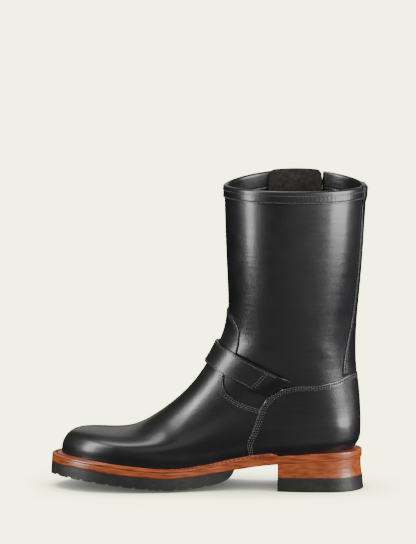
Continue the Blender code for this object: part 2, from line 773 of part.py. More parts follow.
def folded_strip(name, phi, path, lift, thickness, group, material):
    """Solid of a strip folded over the collar's rim, along rings with near and far offsets."""
    rings, near_offset, far_offset = path
    ring = np.repeat(rings[:, None], phi.shape[1], axis=1)
    near = face_point(phi, ring, near_offset[:, None])
    far = face_point(phi, ring, far_offset[:, None])
    for row in (-3, -2):
        near[row, :, 2] += lift
        far[row, :, 2] += lift + thickness
    return layer(name, near, far, group, material)


def make_collar_band(group, material):
    """Binding folded over the rim, all round but for the slit."""
    clear = SLIT_WIDTH / COLLAR_WIDTH * 1.3
    start = SLIT_ANGLE - 2 * math.pi + clear
    stop = SLIT_ANGLE - clear
    nodes = ring_columns()
    nodes = np.concatenate([nodes - 2 * math.pi, nodes])
    inner = nodes[(nodes > start + 0.02) & (nodes < stop - 0.02)]
    around = np.concatenate([[start], inner, [stop]])
    path = rim_path(TOP_RING - rings_for(COLLAR_BAND_HEIGHT), COLLAR_BAND_INSIDE, GAP, BAND_THICKNESS, [])
    phi = np.repeat(around[None, :], len(path[0]), axis=0)
    return folded_strip("collar_band", phi, path, GAP, BAND_THICKNESS, group, material)


def make_back_stay(group, material):
    bottom = COUNTER_TOP[0][1] + 0.08
    rows = ring_rows()
    between = rows[(rows > bottom + 0.1) & (rows < TOP_RING - 0.6)]
    band = BAND_THICKNESS + GAP
    rings, near, far = rim_path(bottom, STAY_INSIDE, GAP + band, OVERLAY, between)
    flare = 1 + 0.9 * smooth_step(bottom + 2.2, bottom, rings)
    half = half_angle(STAY_WIDTH, rings) * flare
    phi = np.clip(counter_columns()[None, :], -half[:, None], half[:, None])
    path = (rings, near, far)
    return folded_strip("back_stay", phi, path, GAP + band, OVERLAY, group, material)


def level_ring(phi, normal, distance):
    """Ring at which the surface at each angle meets a plane."""
    rings = np.linspace(7.0, TOP_RING, 260)
    result = []
    for angle in np.atleast_1d(phi):
        heights = base_surface(np.full_like(rings, angle), rings) @ np.array(normal)
        result.append(np.interp(distance, heights, rings))
    return np.array(result)


class StrapPath:
    """A strap round the leg in a plane: angles along it and places across its width from -1 to 1."""

    def __init__(self, normal, centre, width):
        self.normal = np.array(normal)
        self.middle = float(self.normal @ np.array(centre))
        self.width = width

    def points(self, phi, share, offset):
        ring = level_ring(phi, self.normal, self.middle + share * self.width / 2)
        return face_point(np.atleast_1d(phi), ring, offset)

    def frame(self, phi, offset):
        """Point on the strap's middle line with directions along, across and outwards."""
        angles = np.array([phi - 0.02, phi, phi + 0.02])
        before, here, after = self.points(angles, 0.0, offset)
        along = (after - before) / np.linalg.norm(after - before)
        outward = np.cross(self.normal, along)
        outward = outward / np.linalg.norm(outward)
        across = np.cross(along, outward)
        return here, along, across, outward

    def strip(self, name, start, stop, near, thickness, group, material, ends=(0, 0)):
        """Strap from one angle to another; ends slant its two ends by these angles."""
        inner = ring_columns()
        inner = inner[(inner > start + 0.05) & (inner < stop - 0.05)]
        climb = stop - CHAPE_CLEAR * np.arange(5, 10)
        inner = np.sort(np.concatenate([inner, climb[climb > start]]))
        low, high = [], []
        for share in (-1.0, 0.0, 1.0):
            first = start - ends[0] * share
            last = stop + ends[1] * share
            phi = np.concatenate([[first], np.clip(inner, first, last), [last]])
            offset = near(phi)
            low.append(self.points(phi, share, offset))
            high.append(self.points(phi, share, offset + thickness))
        return layer(name, np.stack(low), np.stack(high), group, material, weld=0.00002)


def strap_lift(base, bar_angle, rise):
    """Offset along a strap that climbs over the buckle's rear bar."""
    def near(phi):
        return base + rise * smooth_step(bar_angle - 0.21, bar_angle - 0.03, phi)
    return near


def rod(name, points, radius, group, material, cyclic=False, sides=2):
    """Round bar along points, a curve with filled ends."""
    data = bpy.data.curves.new(name, "CURVE")
    data.dimensions = "3D"
    data.bevel_depth = radius
    data.bevel_resolution = sides
    data.use_fill_caps = True
    spline = data.splines.new("POLY")
    spline.points.add(len(points) - 1)
    for target, point in zip(spline.points, points):
        target.co = (*point, 1.0)
    spline.use_cyclic_u = cyclic
    item = bpy.data.objects.new(name, data)
    group.objects.link(item)
    data.materials.append(material)
    return item


def buckle_frame(path, front_angle, rear_angle, front_offset, rear_offset):
    """Centre lines of a buckle's bars: corner points from its front bar to its rear bar."""
    front, _, across, _ = path.frame(front_angle, front_offset)
    rear, _, _, _ = path.frame(rear_angle, rear_offset)
    half = path.width / 2 + BUCKLE_PLAY + BUCKLE_WIRE / 2
    turn = BUCKLE_WIRE
    along = (rear - front) / np.linalg.norm(rear - front)
    points = []
    for base, side, way in ((front, -1, 1), (front, 1, 1), (rear, 1, -1), (rear, -1, -1)):
        corner = base + across * side * half
        on_bar = corner - across * side * turn
        on_side = corner + along * way * turn
        cut_corner = corner - across * side * turn * 0.3 + along * way * turn * 0.3
        pair = [on_bar, cut_corner, on_side]
        points += pair if (side > 0) == (way > 0) else pair[::-1]
    return points, front, rear


def make_buckled_strap(prefix, path, start, buckle, tip, anchor, base, group, cutters, leather, metal, slants):
    """Strap, roller buckle with its prong, the short strap that carries it, and a keeper loop."""
    thickness = STRAP_THICKNESS
    bar = BUCKLE_WIRE
    anchor_base = base + CHAPE_LIFT
    rise = bar + CHAPE_LIFT + 3 * STRAP_GAP
    strap = path.strip(f"{prefix}_strap", start, tip, strap_lift(base, buckle, rise), thickness, group, leather,
                       (slants, 0))
    front_angle = buckle - BUCKLE_REACH
    front_offset = base + thickness + 3 * STRAP_GAP + bar / 2
    rear_offset = base + STRAP_GAP + bar / 2
    corners, front, rear = buckle_frame(path, front_angle, buckle, front_offset, rear_offset)
    rod(f"{prefix}_buckle", corners, bar / 2, group, metal, cyclic=True)
    _, _, _, outward = path.frame(front_angle, front_offset)
    direction = front + outward * (bar / 2 + PRONG_RADIUS + GAP) - rear
    direction = direction / np.linalg.norm(direction)
    first = rear + direction * (bar / 2 + PRONG_RADIUS + GAP)
    reach = float((front - rear) @ direction) + bar * 0.8
    prong = [first, rear + direction * reach * 0.5, rear + direction * reach]
    rod(f"{prefix}_prong", prong, PRONG_RADIUS, group, metal)
    hole = [first - direction * 0.001, rear + direction * (reach + 0.002)]
    cut_round_hole(strap, f"{prefix}_prong_hole", hole, cutters)
    path.strip(f"{prefix}_short_strap", buckle + CHAPE_CLEAR, anchor, strap_lift(anchor_base, anchor, 0),
               thickness * 0.8, group, leather)
    make_keeper(f"{prefix}_keeper", path, (buckle + CHAPE_CLEAR + tip) / 2, anchor_base + KEEPER_LIFT,
                base + rise + thickness, group, leather)


def cut_round_hole(target, name, points, cutters):
    axis = Vector(points[1] - points[0])
    bpy.ops.mesh.primitive_cylinder_add(vertices=10, radius=PRONG_RADIUS + 2 * GAP, depth=axis.length)
    cutter = bpy.context.object
    cutter.name = name
    cutter.matrix_world = (Matrix.Translation(Vector(points[0] + points[1]) / 2)
                           @ axis.to_track_quat("Z", "Y").to_matrix().to_4x4())
    move_to(cutter, cutters)
    cut(target, cutter)


def make_keeper(name, path, phi, low, high, group, material):
    """Loop of leather over the strap's tip, its two feet beside the short strap."""
    inner = 1 + STRAP_GAP * 1.5 / (path.width / 2)
    outer = inner + OVERLAY / (path.width / 2)
    top = high + STRAP_GAP * 1.5
    near_path = ((-inner, low), (-inner, top), (0.0, top), (inner, top), (inner, low))
    far_path = ((-outer, low), (-outer, top + OVERLAY), (0.0, top + OVERLAY), (outer, top + OVERLAY), (outer, low))
    before, after = path.points(np.array([phi - 0.02, phi + 0.02]), 0.0, high)
    turn = KEEPER_WIDTH / 2 * 0.04 / np.linalg.norm(after - before)
    near, far = [], []
    for angle in (phi - turn, phi + turn):
        near.append([path.points(angle, share, offset)[0] for share, offset in near_path])
        far.append([path.points(angle, share, offset)[0] for share, offset in far_path])
    return layer(name, np.array(near), np.array(far), group, material)


def make_instep_set(group, cutters, leather, metal):
    normal = (math.sin(STRAP_TILT), 0.0, math.cos(STRAP_TILT))
    path = StrapPath(normal, STRAP_CENTRE, STRAP_WIDTH)
    make_buckled_strap("instep", path, math.radians(89.5), math.radians(262), math.radians(300), math.radians(296),
                       GAP + OVERLAY + STRAP_GAP, group, cutters, leather, metal, math.radians(7))


def make_collar_set(group, cutters, leather, metal):
    centre = (0.0, 0.0, SHAFT_HEIGHT + SIDE_RISE - COLLAR_STRAP_DROP)
    path = StrapPath((0.0, 0.0, 1.0), centre, COLLAR_STRAP_WIDTH)
    make_buckled_strap("collar", path, math.radians(226), math.radians(283), math.radians(320), math.radians(316),
                       STRAP_GAP, group, cutters, leather, metal, 0)


def make_gusset(group, material):
    """Panel behind the slit, inside the collar's binding and a little higher than it."""
    offset = -WALL - 2 * GAP - BAND_THICKNESS
    ring_bottom = TOP_RING - rings_for(SLIT_LENGTH + STAY_INSIDE / 3)
    nodes = ring_columns()
    inner = nodes[(nodes > GUSSET_START + 0.02) & (nodes < GUSSET_STOP - 0.02)]
    phi = np.concatenate([[GUSSET_START], inner, [GUSSET_STOP]])
    rows = ring_rows()
    rings = np.concatenate([[ring_bottom], rows[rows > ring_bottom + 0.1], [TOP_RING]])
    phi, ring = np.meshgrid(phi, rings)
    near = face_point(phi, ring, offset - GUSSET_THICKNESS)
    far = face_point(phi, ring, offset)
    for grid in (near, far):
        grid[-1, :, 2] += GUSSET_RISE
    return layer("gusset", near, far, group, material)


def main():
    clear_scene()
    boot = make_collection("engineer_boot")
    cutters = make_collection("cutters")
    leather = make_material("boot_leather", (0.012, 0.012, 0.013), 0.3)
    lining = make_material("lining_leather", (0.30, 0.20, 0.13), 0.7)
    veg_leather = make_material("sole_leather", (0.42, 0.13, 0.045), 0.45)
    rubber = make_material("black_rubber", (0.03, 0.03, 0.032), 0.8)
    metal = make_material("buckle_metal", (0.55, 0.53, 0.50), 0.3, 1.0)
    make_midsole(boot, veg_leather)
    make_insole(boot, lining)
    make_welt(boot, veg_leather)
    make_half_sole(boot, rubber)
    make_lifts(boot, veg_leather)
    make_heel_cap(boot, cutters, rubber)
    make_upper(boot, cutters, leather)
    make_vamp(boot, leather)
    make_counter(boot, leather)
    make_collar_band(boot, leather)
    make_back_stay(boot, leather)
    make_gusset(boot, lining)
    make_instep_set(boot, cutters, leather, metal)
    make_collar_set(boot, cutters, leather, metal)


main()
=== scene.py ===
import math

import bmesh
import bpy
import numpy as np
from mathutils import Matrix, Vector


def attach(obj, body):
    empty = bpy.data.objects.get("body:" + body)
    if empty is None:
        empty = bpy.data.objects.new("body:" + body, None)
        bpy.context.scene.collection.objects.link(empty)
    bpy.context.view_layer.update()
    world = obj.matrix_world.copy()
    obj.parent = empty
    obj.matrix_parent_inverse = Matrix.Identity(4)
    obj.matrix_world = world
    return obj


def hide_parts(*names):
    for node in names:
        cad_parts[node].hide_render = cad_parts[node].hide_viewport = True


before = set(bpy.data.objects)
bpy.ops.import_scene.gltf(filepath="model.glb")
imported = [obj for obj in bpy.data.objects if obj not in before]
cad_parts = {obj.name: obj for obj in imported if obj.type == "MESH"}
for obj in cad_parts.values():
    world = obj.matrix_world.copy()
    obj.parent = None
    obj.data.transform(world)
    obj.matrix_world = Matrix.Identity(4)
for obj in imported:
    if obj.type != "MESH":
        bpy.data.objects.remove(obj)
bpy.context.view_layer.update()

# Sole unit
SOLE_LENGTH = 0.3025
BALL_WIDTH = 0.110
HEEL_LENGTH = 0.0805
HEEL_HEIGHT = 0.0389
TOE_SPRING = 0.0142
SOLE_CROWN = 0.0034
MIDSOLE_THICKNESS = 0.0057
WAIST_EXTRA = 0.0021
RUBBER_THICKNESS = 0.0112
RUBBER_LENGTH = 0.177
RUBBER_TAPER = 0.026
TREAD_FLAT = 0.0005
LUG_DEPTH = 0.0021
LUG_PITCH = 0.0127
LUG_GROOVE = 0.0031
EDGE_LUG_WIDTH = 0.0135
CAP_THICKNESS = 0.0140
CAP_FLARE = 0.0015
CAP_GROOVE_DEPTH = 0.0030
CAP_GROOVE_PLACES = (0.2, 0.8)
LIFT_COUNT = 3
LIFT_WAIST = 0.0011
WELT_WIDTH = 0.0055

# Upper
LAST_LENGTH = 0.2815
TOE_HEIGHT = 0.0275
INSTEP_HEIGHT = 0.127
SHAFT_HEIGHT = 0.296
COLLAR_DEPTH = 0.1371
COLLAR_WIDTH = 0.107
HEEL_CURVE = 0.010
TOE_PUFF = 0.0026
SIDE_RISE = 0.0075
SHAFT_LEAN = 0.005
WALL = 0.0022
OVERLAY = 0.0014
COUNTER_THICKNESS = 0.0018
BAND_THICKNESS = 0.0010
GUSSET_THICKNESS = 0.0011
STRAP_THICKNESS = 0.0026
STRAP_WIDTH = 0.024
COLLAR_BAND_HEIGHT = 0.0108
COLLAR_BAND_INSIDE = 0.015
STAY_WIDTH = 0.026
STAY_INSIDE = 0.030
SLIT_WIDTH = 0.012
SLIT_LENGTH = 0.085
GUSSET_RISE = 0.004
COLLAR_STRAP_WIDTH = 0.018
COLLAR_STRAP_DROP = 0.030
BUCKLE_WIRE = 0.0034
BUCKLE_PLAY = 0.0014
PRONG_RADIUS = 0.0012
CHAPE_LIFT = 0.0012
KEEPER_WIDTH = 0.008
KEEPER_LIFT = 0.001

# Clearances
GAP = 0.0003
FEATHER_GAP = 0.0006
STRAP_GAP = 0.0006

# Rings between the instep and the collar
SHAFT_RINGS = 4.0

# Softening of the last's plain surface
SOFT_COLUMNS = 1440
SOFT_ROWS = 800
SOFT_ANGLE = 6.0
SOFT_RINGS = 0.65

# Camera, floor and light
CAMERA_AZIMUTH = 4.0
CAMERA_ELEVATION = 8.5
CAMERA_DISTANCE = 8.0
VIEW_HEIGHT = 0.5307
VIEW_RIGHT = -0.1106
VIEW_UP = 0.2094
FLOOR_REACH = 30.0
FLOOR_TINT = (0.99, 1.0, 0.61)
SHADOW_TINT = (1.0, 1.0, 0.92)
FLOOR_GLOW = 5.75
FLOOR_DIM = 0.06
FLOOR_FRONT = 0.45
SHADOW_REACH = 0.08
EDGE_COLOURS = (
    # noise value, colour
    (0.30, (0.10, 0.014, 0.0025)),
    (0.48, (0.24, 0.047, 0.010)),
    (0.70, (0.36, 0.092, 0.026)),
)
STACK_COLOURS = (
    # noise value, colour
    (0.30, (0.17, 0.031, 0.007)),
    (0.50, (0.25, 0.054, 0.013)),
    (0.72, (0.33, 0.084, 0.025)),
)
SUEDE_COLOURS = (
    # noise value, colour
    (0.3, (0.012, 0.0115, 0.0095)),
    (0.7, (0.032, 0.030, 0.025)),
)
LINING_COLOURS = (
    # noise value, colour
    (0.3, (0.24, 0.155, 0.095)),
    (0.7, (0.36, 0.25, 0.16)),
)
RUBBER_COLOURS = (
    # noise value, colour
    (0.3, (0.013, 0.013, 0.0115)),
    (0.7, (0.021, 0.021, 0.0185)),
)
SHADOW_STEPS = (
    # open share of the sky, glow, tint
    (0.00, 0.012, SHADOW_TINT),
    (0.35, 0.110, SHADOW_TINT),
    (0.70, 0.570, FLOOR_TINT),
    (0.90, 0.900, FLOOR_TINT),
    (1.00, 1.000, FLOOR_TINT),
)
LIGHTS = (
    # name, place, target, size, power
    ("left_softbox", (-0.80, -0.39, 0.38), (-0.04, 0.0, 0.18), (0.20, 0.80), 9.0),
    ("toe_softbox", (-0.70, -0.30, 0.75), (-0.20, 0.0, 0.05), (0.42, 0.30), 2.2),
    ("right_softbox", (0.79, -0.31, 0.40), (0.0, 0.0, 0.20), (0.52, 0.85), 20),
    ("right_fill", (0.75, -0.65, 0.50), (0.0, 0.0, 0.20), (0.50, 0.80), 4.4),
    ("top_softbox", (-0.25, 0.12, 1.10), (-0.14, 0.0, 0.0), (0.80, 0.26), 4.2),
    ("back_softbox", (-0.1, 1.6, 0.9), (-0.10, 0.0, 0.15), (1.6, 1.0), 3.0),
    ("front_fill", (0.95, -2.2, 1.1), (-0.1, 0.0, 0.15), (3.2, 3.0), 15),
)

HALF_BALL = BALL_WIDTH / 2
SEAT_BACK = (HEEL_LENGTH + CAP_FLARE) / 2 - CAP_FLARE
BREAST_X = SEAT_BACK - HEEL_LENGTH
BALL_TOP = MIDSOLE_THICKNESS + GAP + RUBBER_THICKNESS - TREAD_FLAT
BINDING = BAND_THICKNESS * 1.3
BINDING_GAP = 0.00005
STAY_THICKNESS = OVERLAY * 0.9
SHORT_STRAP_THICKNESS = STRAP_THICKNESS * 0.8

# Bottom of the last along the sole, from the heel: shares of heel rise, toe spring and crown
LAST_BOTTOM = (
    # along, heel_rise, toe_rise, crown
    (0.00, 1.00, 0.00, 0.00),
    (0.09, 0.98, 0.00, 0.00),
    (0.17, 0.91, 0.00, 0.00),
    (0.27, 0.79, 0.00, 0.05),
    (0.34, 0.66, 0.00, 0.20),
    (0.41, 0.47, 0.00, 0.50),
    (0.48, 0.24, 0.00, 0.80),
    (0.55, 0.07, 0.00, 0.95),
    (0.62, 0.00, 0.00, 1.00),
    (0.69, 0.00, 0.10, 1.00),
    (0.76, 0.00, 0.27, 0.95),
    (0.84, 0.00, 0.53, 0.85),
    (0.92, 0.00, 0.80, 0.70),
    (1.00, 0.00, 1.00, 0.60),
)

# Outline of the sole in shares of half the ball width, and how far the upper stands in from it
OUTLINE = (
    # along, centre, half_width, inset
    (0.00, 0.000, 0.600, 1.30),
    (0.10, 0.005, 0.600, 1.05),
    (0.18, 0.010, 0.618, 0.90),
    (0.27, 0.032, 0.612, 0.85),
    (0.35, 0.062, 0.610, 0.85),
    (0.43, 0.085, 0.665, 0.95),
    (0.52, 0.080, 0.785, 1.15),
    (0.60, 0.055, 0.905, 1.28),
    (0.68, 0.028, 0.980, 1.30),
    (0.76, 0.004, 0.980, 1.30),
    (0.84, -0.018, 0.925, 1.30),
    (0.92, -0.050, 0.850, 1.30),
    (1.00, -0.095, 0.780, 1.30),
)
TOE_ROUND = 0.054
HEEL_ROUND = 0.033

# Rings of the upper from the feather line to the collar.
# span: 1 is the collar's depth, 2 the last's length. Levels: 0 sole, 1 toe box, 2 instep, 3 collar.
# tuck, puff: shares of HEEL_CURVE and TOE_PUFF. hang: how long a ring stays low before it rises.
# shaft: share of shaft form. side: share of half the collar width. rounds: shares of the ring's span.
RINGS = (
    # span, front_level, tuck, back_level, hang, shaft, side, front_round, back_round, puff
    (2.000, 0.000, 0.97, 0.000, 1.0, 0.00, 0.70, 0.185, 0.105, 0.0),
    (2.014, 0.200, 0.80, 0.110, 1.5, 0.00, 0.70, 0.185, 0.110, 0.3),
    (2.023, 0.450, 0.53, 0.260, 2.0, 0.00, 0.70, 0.190, 0.115, 0.8),
    (2.000, 0.700, 0.39, 0.385, 2.6, 0.00, 0.70, 0.195, 0.120, 1.0),
    (1.947, 0.900, 0.32, 0.510, 3.5, 0.00, 0.70, 0.210, 0.125, 1.0),
    (1.841, 1.000, 0.29, 0.675, 4.5, 0.00, 0.72, 0.235, 0.130, 1.0),
    (1.690, 1.040, 0.28, 0.840, 5.0, 0.03, 0.72, 0.265, 0.140, 0.9),
    (1.552, 1.120, 0.27, 1.010, 5.0, 0.07, 0.73, 0.310, 0.160, 0.8),
    (1.413, 1.287, 0.28, 1.125, 4.5, 0.14, 0.74, 0.360, 0.190, 0.6),
    (1.272, 1.487, 0.31, 1.290, 3.5, 0.27, 0.75, 0.410, 0.230, 0.4),
    (1.142, 1.707, 0.39, 1.520, 2.6, 0.44, 0.76, 0.450, 0.290, 0.2),
    (1.023, 2.000, 0.61, 1.820, 1.9, 0.66, 0.78, 0.490, 0.370, 0.0),
    (0.933, 2.136, 0.71, 2.077, 1.4, 0.87, 0.82, 0.500, 0.450, 0.0),
    (0.913, 2.284, 0.53, 2.254, 1.1, 1.00, 0.88, 0.500, 0.500, 0.0),
    (0.944, 2.491, 0.23, 2.479, 1.0, 1.00, 0.95, 0.500, 0.500, 0.0),
    (0.975, 2.757, -0.05, 2.757, 1.0, 1.00, 0.99, 0.500, 0.500, 0.0),
    (1.000, 3.000, -0.30, 3.000, 1.0, 1.00, 1.00, 0.500, 0.500, 0.0),
)
TOP_RING = len(RINGS) - 1

# Tongue: the ring where its tip starts to round, how many rings that takes, half its angle there,
# and how far the vamp runs on under the counter
TONGUE_RING = 12.1
TONGUE_TIP = 0.92
TONGUE_HALF = math.radians(42)
VAMP_UNDER = math.radians(4)

# Real lengths and widths that set how wide the pieces' rounded edges are
VAMP_SPAN = (0.25, 0.20)
COUNTER_SPAN = (0.09, 0.22)
COLLAR_ROUND = 0.38

# Where the vamp and the counter end, as angles from the toe and from the heel, up the rings
VAMP_EDGE = (
    # ring, angle
    (0.0, 110.0),
    (8.4, 90.0),
    (9.1, 84.6),
    (9.5, 68.0),
    (10.0, 51.0),
    (10.4, 45.0),
    (11.5, 45.5),
    (12.1, 42.0),
    (12.6, 36.0),
    (12.9, 22.0),
    (13.0, 8.0),
)
COUNTER_EDGE = (
    # ring, angle
    (0.0, 73.0),
    (3.3, 76.0),
    (6.8, 86.0),
    (8.4, 92.0),
    (9.2, 94.5),
    (9.7, 93.5),
    (10.1, 89.0),
    (10.4, 80.0),
    (11.0, 66.0),
)
COUNTER_TOP = (
    # angle, ring
    (0.0, 10.95),
    (20.0, 10.92),
    (40.0, 10.65),
    (61.0, 10.48),
    (80.0, 10.38),
    (89.0, 10.12),
    (95.0, 9.60),
)
# Slit in the collar and the panel behind it
SLIT_ANGLE = math.radians(287)
GUSSET_START = math.radians(244)
GUSSET_STOP = math.radians(292)
# Instep strap: its slope, its middle at the instep, and angles at the buckle
STRAP_TILT = math.radians(25)
STRAP_CENTRE = (-0.105, 0.0, 0.1325)
BUCKLE_REACH = math.radians(19)
CHAPE_CLEAR = math.radians(5)
STRAPS = (
    # name, start, buckle, tip, anchor, slant, length thinned under a seam
    ("instep", 87.5, 262.0, 300.0, 296.0, 7.0, 0.22),
    ("collar", 226.0, 283.0, 320.0, 316.0, 0.0, 0.0),
)


def column(rows, index, position):
    """Smooth curve through one column of a table, read at positions in its first column."""
    table = np.array(rows, dtype=float)
    return hermite(table[:, 0], table[:, index], position)


def hermite(knots, values, position):
    slopes = np.gradient(values, knots)
    place = np.clip(np.asarray(position, dtype=float), knots[0], knots[-1])
    cell = np.clip(np.searchsorted(knots, place, side="right") - 1, 0, len(knots) - 2)
    width = knots[cell + 1] - knots[cell]
    t = (place - knots[cell]) / width
    start = (1 + 2 * t) * (1 - t) ** 2 * values[cell] + t * (1 - t) ** 2 * width * slopes[cell]
    end = t ** 2 * (3 - 2 * t) * values[cell + 1] + t ** 2 * (t - 1) * width * slopes[cell + 1]
    return start + end


def rounded(share):
    """Quarter of a circle: 0 at the end of an outline, 1 where it has its full width."""
    return np.sqrt(np.clip(1 - (1 - np.clip(share, 0, 1)) ** 2, 0, 1))


def smooth_step(low, high, value):
    t = np.clip((np.asarray(value, dtype=float) - low) / (high - low), 0, 1)
    return t * t * (3 - 2 * t)


# Sole outline and the surface that the sole's layers follow

def along_share(x):
    return (SEAT_BACK - np.asarray(x, dtype=float)) / SOLE_LENGTH


def outline_centre(x):
    return column(OUTLINE, 1, along_share(x)) * HALF_BALL


def outline_half(x):
    share = along_share(x)
    ends = rounded((1 - share) * SOLE_LENGTH / TOE_ROUND) * rounded(share * SOLE_LENGTH / HEEL_ROUND)
    return column(OUTLINE, 2, share) * HALF_BALL * ends


def last_bottom(x, y=None):
    """Height of the midsole's top, raised towards the sides by the crown."""
    share = along_share(x)
    heel = column(LAST_BOTTOM, 1, share) * (HEEL_HEIGHT - BALL_TOP)
    toe = column(LAST_BOTTOM, 2, share) * TOE_SPRING
    side = outline_half(x) if y is None else np.asarray(y) - outline_centre(x)
    crown = column(LAST_BOTTOM, 3, share) * SOLE_CROWN * (side / HALF_BALL) ** 2
    return BALL_TOP + heel + toe + crown


def sole_point(x, y, depth):
    """Point at a depth below the midsole's top, square to the sole where it turns up."""
    step = 0.002
    slope = (last_bottom(x + step, y) - last_bottom(x - step, y)) / (2 * step)
    slope = slope * smooth_step(BREAST_X + 0.02, BREAST_X - 0.06, x)
    square = np.sqrt(1 + slope ** 2)
    return np.stack([x + depth * slope / square, y, last_bottom(x, y) - depth / square], axis=-1)


def waist_extra(x):
    """The leather is thicker from the waist back, where no rubber covers it."""
    front = SEAT_BACK - SOLE_LENGTH + RUBBER_LENGTH
    return WAIST_EXTRA * smooth_step(front - RUBBER_TAPER, front + RUBBER_TAPER / 2, x)


def ring_value(index, ring):
    table = np.array(RINGS, dtype=float)
    return hermite(np.arange(len(RINGS), dtype=float), table[:, index], ring)


def ring_span(ring):
    spans = (0, COLLAR_DEPTH, LAST_LENGTH, 2 * LAST_LENGTH - COLLAR_DEPTH)
    return np.interp(ring_value(0, ring), (0, 1, 2, 3), spans)


def level_height(level, x):
    sole = last_bottom(x) + FEATHER_GAP
    toe = last_bottom(x) + TOE_HEIGHT
    low = sole + (toe - sole) * np.clip(level, 0, 1)
    middle = (INSTEP_HEIGHT - toe) * np.clip(level - 1, 0, 1)
    top = (SHAFT_HEIGHT - INSTEP_HEIGHT) * np.clip(level - 2, 0, 1)
    return low + middle + top


def base_surface(phi, ring):
    """Outer face of the upper. phi runs from the back centre over the medial side to the toe."""
    phi, ring = np.broadcast_arrays(np.asarray(phi, dtype=float), np.asarray(ring, dtype=float))
    u = (1 - np.cos(phi)) / 2
    span = ring_span(ring)
    x_back = SEAT_BACK - HEEL_CURVE * ring_value(2, ring)
    x_front = x_back - span
    x = x_back - span * u
    shaft = np.clip(ring_value(5, ring), 0, 1)
    front = level_height(ring_value(1, ring), x_front) - (1 - shaft) * last_bottom(x_front)
    back = level_height(ring_value(3, ring), x_back) - (1 - shaft) * last_bottom(x_back)
    hang = u ** ring_value(4, ring)
    z = (1 - shaft) * last_bottom(x) + back * (1 - hang) + front * hang
    lateral = np.clip(-np.sin(phi), 0, 1) ** 2
    z = z + SIDE_RISE * lateral * smooth_step(TOP_RING - 3, TOP_RING, ring)
    share = along_share(x)
    foot = column(OUTLINE, 2, share) * HALF_BALL - column(OUTLINE, 3, share) * WELT_WIDTH
    foot = foot + TOE_PUFF * ring_value(9, ring)
    half = (1 - shaft) * foot + shaft * ring_value(6, ring) * COLLAR_WIDTH / 2
    ends = rounded((1 - u) / ring_value(7, ring)) * rounded(u / ring_value(8, ring))
    centre = (1 - shaft) * outline_centre(x) * smooth_step(9, 3, ring)
    centre = centre - SHAFT_LEAN * shaft * smooth_step(INSTEP_HEIGHT, SHAFT_HEIGHT, z)
    y = centre - np.sign(np.sin(phi)) * half * ends
    return np.stack([x, y, z], axis=-1)


def blur(values, sigma, axis):
    """Average a grid along one axis with a bell of weights, wrapping round at its ends; softened_grid cuts
    its padding off again.
    """
    reach = int(3 * sigma)
    weights = np.exp(-0.5 * (np.arange(-reach, reach + 1) / sigma) ** 2)
    weights = weights / weights.sum()
    return sum(part * np.roll(values, shift - reach, axis=axis) for shift, part in enumerate(weights))


def ease(grid):
    return blur(blur(grid, SOFT_ROWS * SOFT_RINGS / TOP_RING, 1), SOFT_COLUMNS * SOFT_ANGLE / 360, 0)


def softened_grid():
    """The upper's outer face on an even grid, with the last's shoulders eased as leather does."""
    phi = np.arange(SOFT_COLUMNS) * 2 * math.pi / SOFT_COLUMNS
    ring = np.linspace(0, TOP_RING, SOFT_ROWS)
    plain = base_surface(phi[:, None], ring[None, :])
    pad = int(4 * SOFT_ROWS * SOFT_RINGS / TOP_RING)
    first = 2 * plain[:, :1] - plain[:, pad:0:-1]
    last = 2 * plain[:, -1:] - plain[:, -2:-pad - 2:-1]
    long = np.concatenate([first, plain, last], axis=1)
    soft = ease(long)
    soft = (soft + ease(long - soft))[:, pad:-pad]
    share = (smooth_step(0, 1.2, ring) * smooth_step(TOP_RING, TOP_RING - 1.5, ring))[None, :, None]
    return plain + (soft - plain) * share


SOFT_GRID = softened_grid()


def soft_surface(phi, ring):
    """Read the softened face at any angle and ring."""
    phi, ring = np.broadcast_arrays(np.asarray(phi, dtype=float), np.asarray(ring, dtype=float))
    u = np.mod(phi, 2 * math.pi) * SOFT_COLUMNS / (2 * math.pi)
    v = np.clip(ring, 0, TOP_RING) * (SOFT_ROWS - 1) / TOP_RING
    i = u.astype(int)
    j = np.minimum(v.astype(int), SOFT_ROWS - 2)
    u, v = (u - i)[..., None], (v - j)[..., None]
    i = i % SOFT_COLUMNS
    after = (i + 1) % SOFT_COLUMNS
    low = SOFT_GRID[i, j] * (1 - u) + SOFT_GRID[after, j] * u
    high = SOFT_GRID[i, j + 1] * (1 - u) + SOFT_GRID[after, j + 1] * u
    return low * (1 - v) + high * v


def surface_normal(phi, ring):
    step = 0.02
    lower = np.clip(ring - step, 0, TOP_RING)
    upper = np.clip(ring + step, 0, TOP_RING)
    round_way = soft_surface(phi + step, ring) - soft_surface(phi - step, ring)
    up_way = soft_surface(phi, upper) - soft_surface(phi, lower)
    normal = np.cross(up_way, round_way)
    level = smooth_step(0.0, 1.5, ring)
    normal[..., 2] *= np.minimum(level, smooth_step(TOP_RING, TOP_RING - 1.0, ring))
    return normal / np.linalg.norm(normal, axis=-1, keepdims=True)


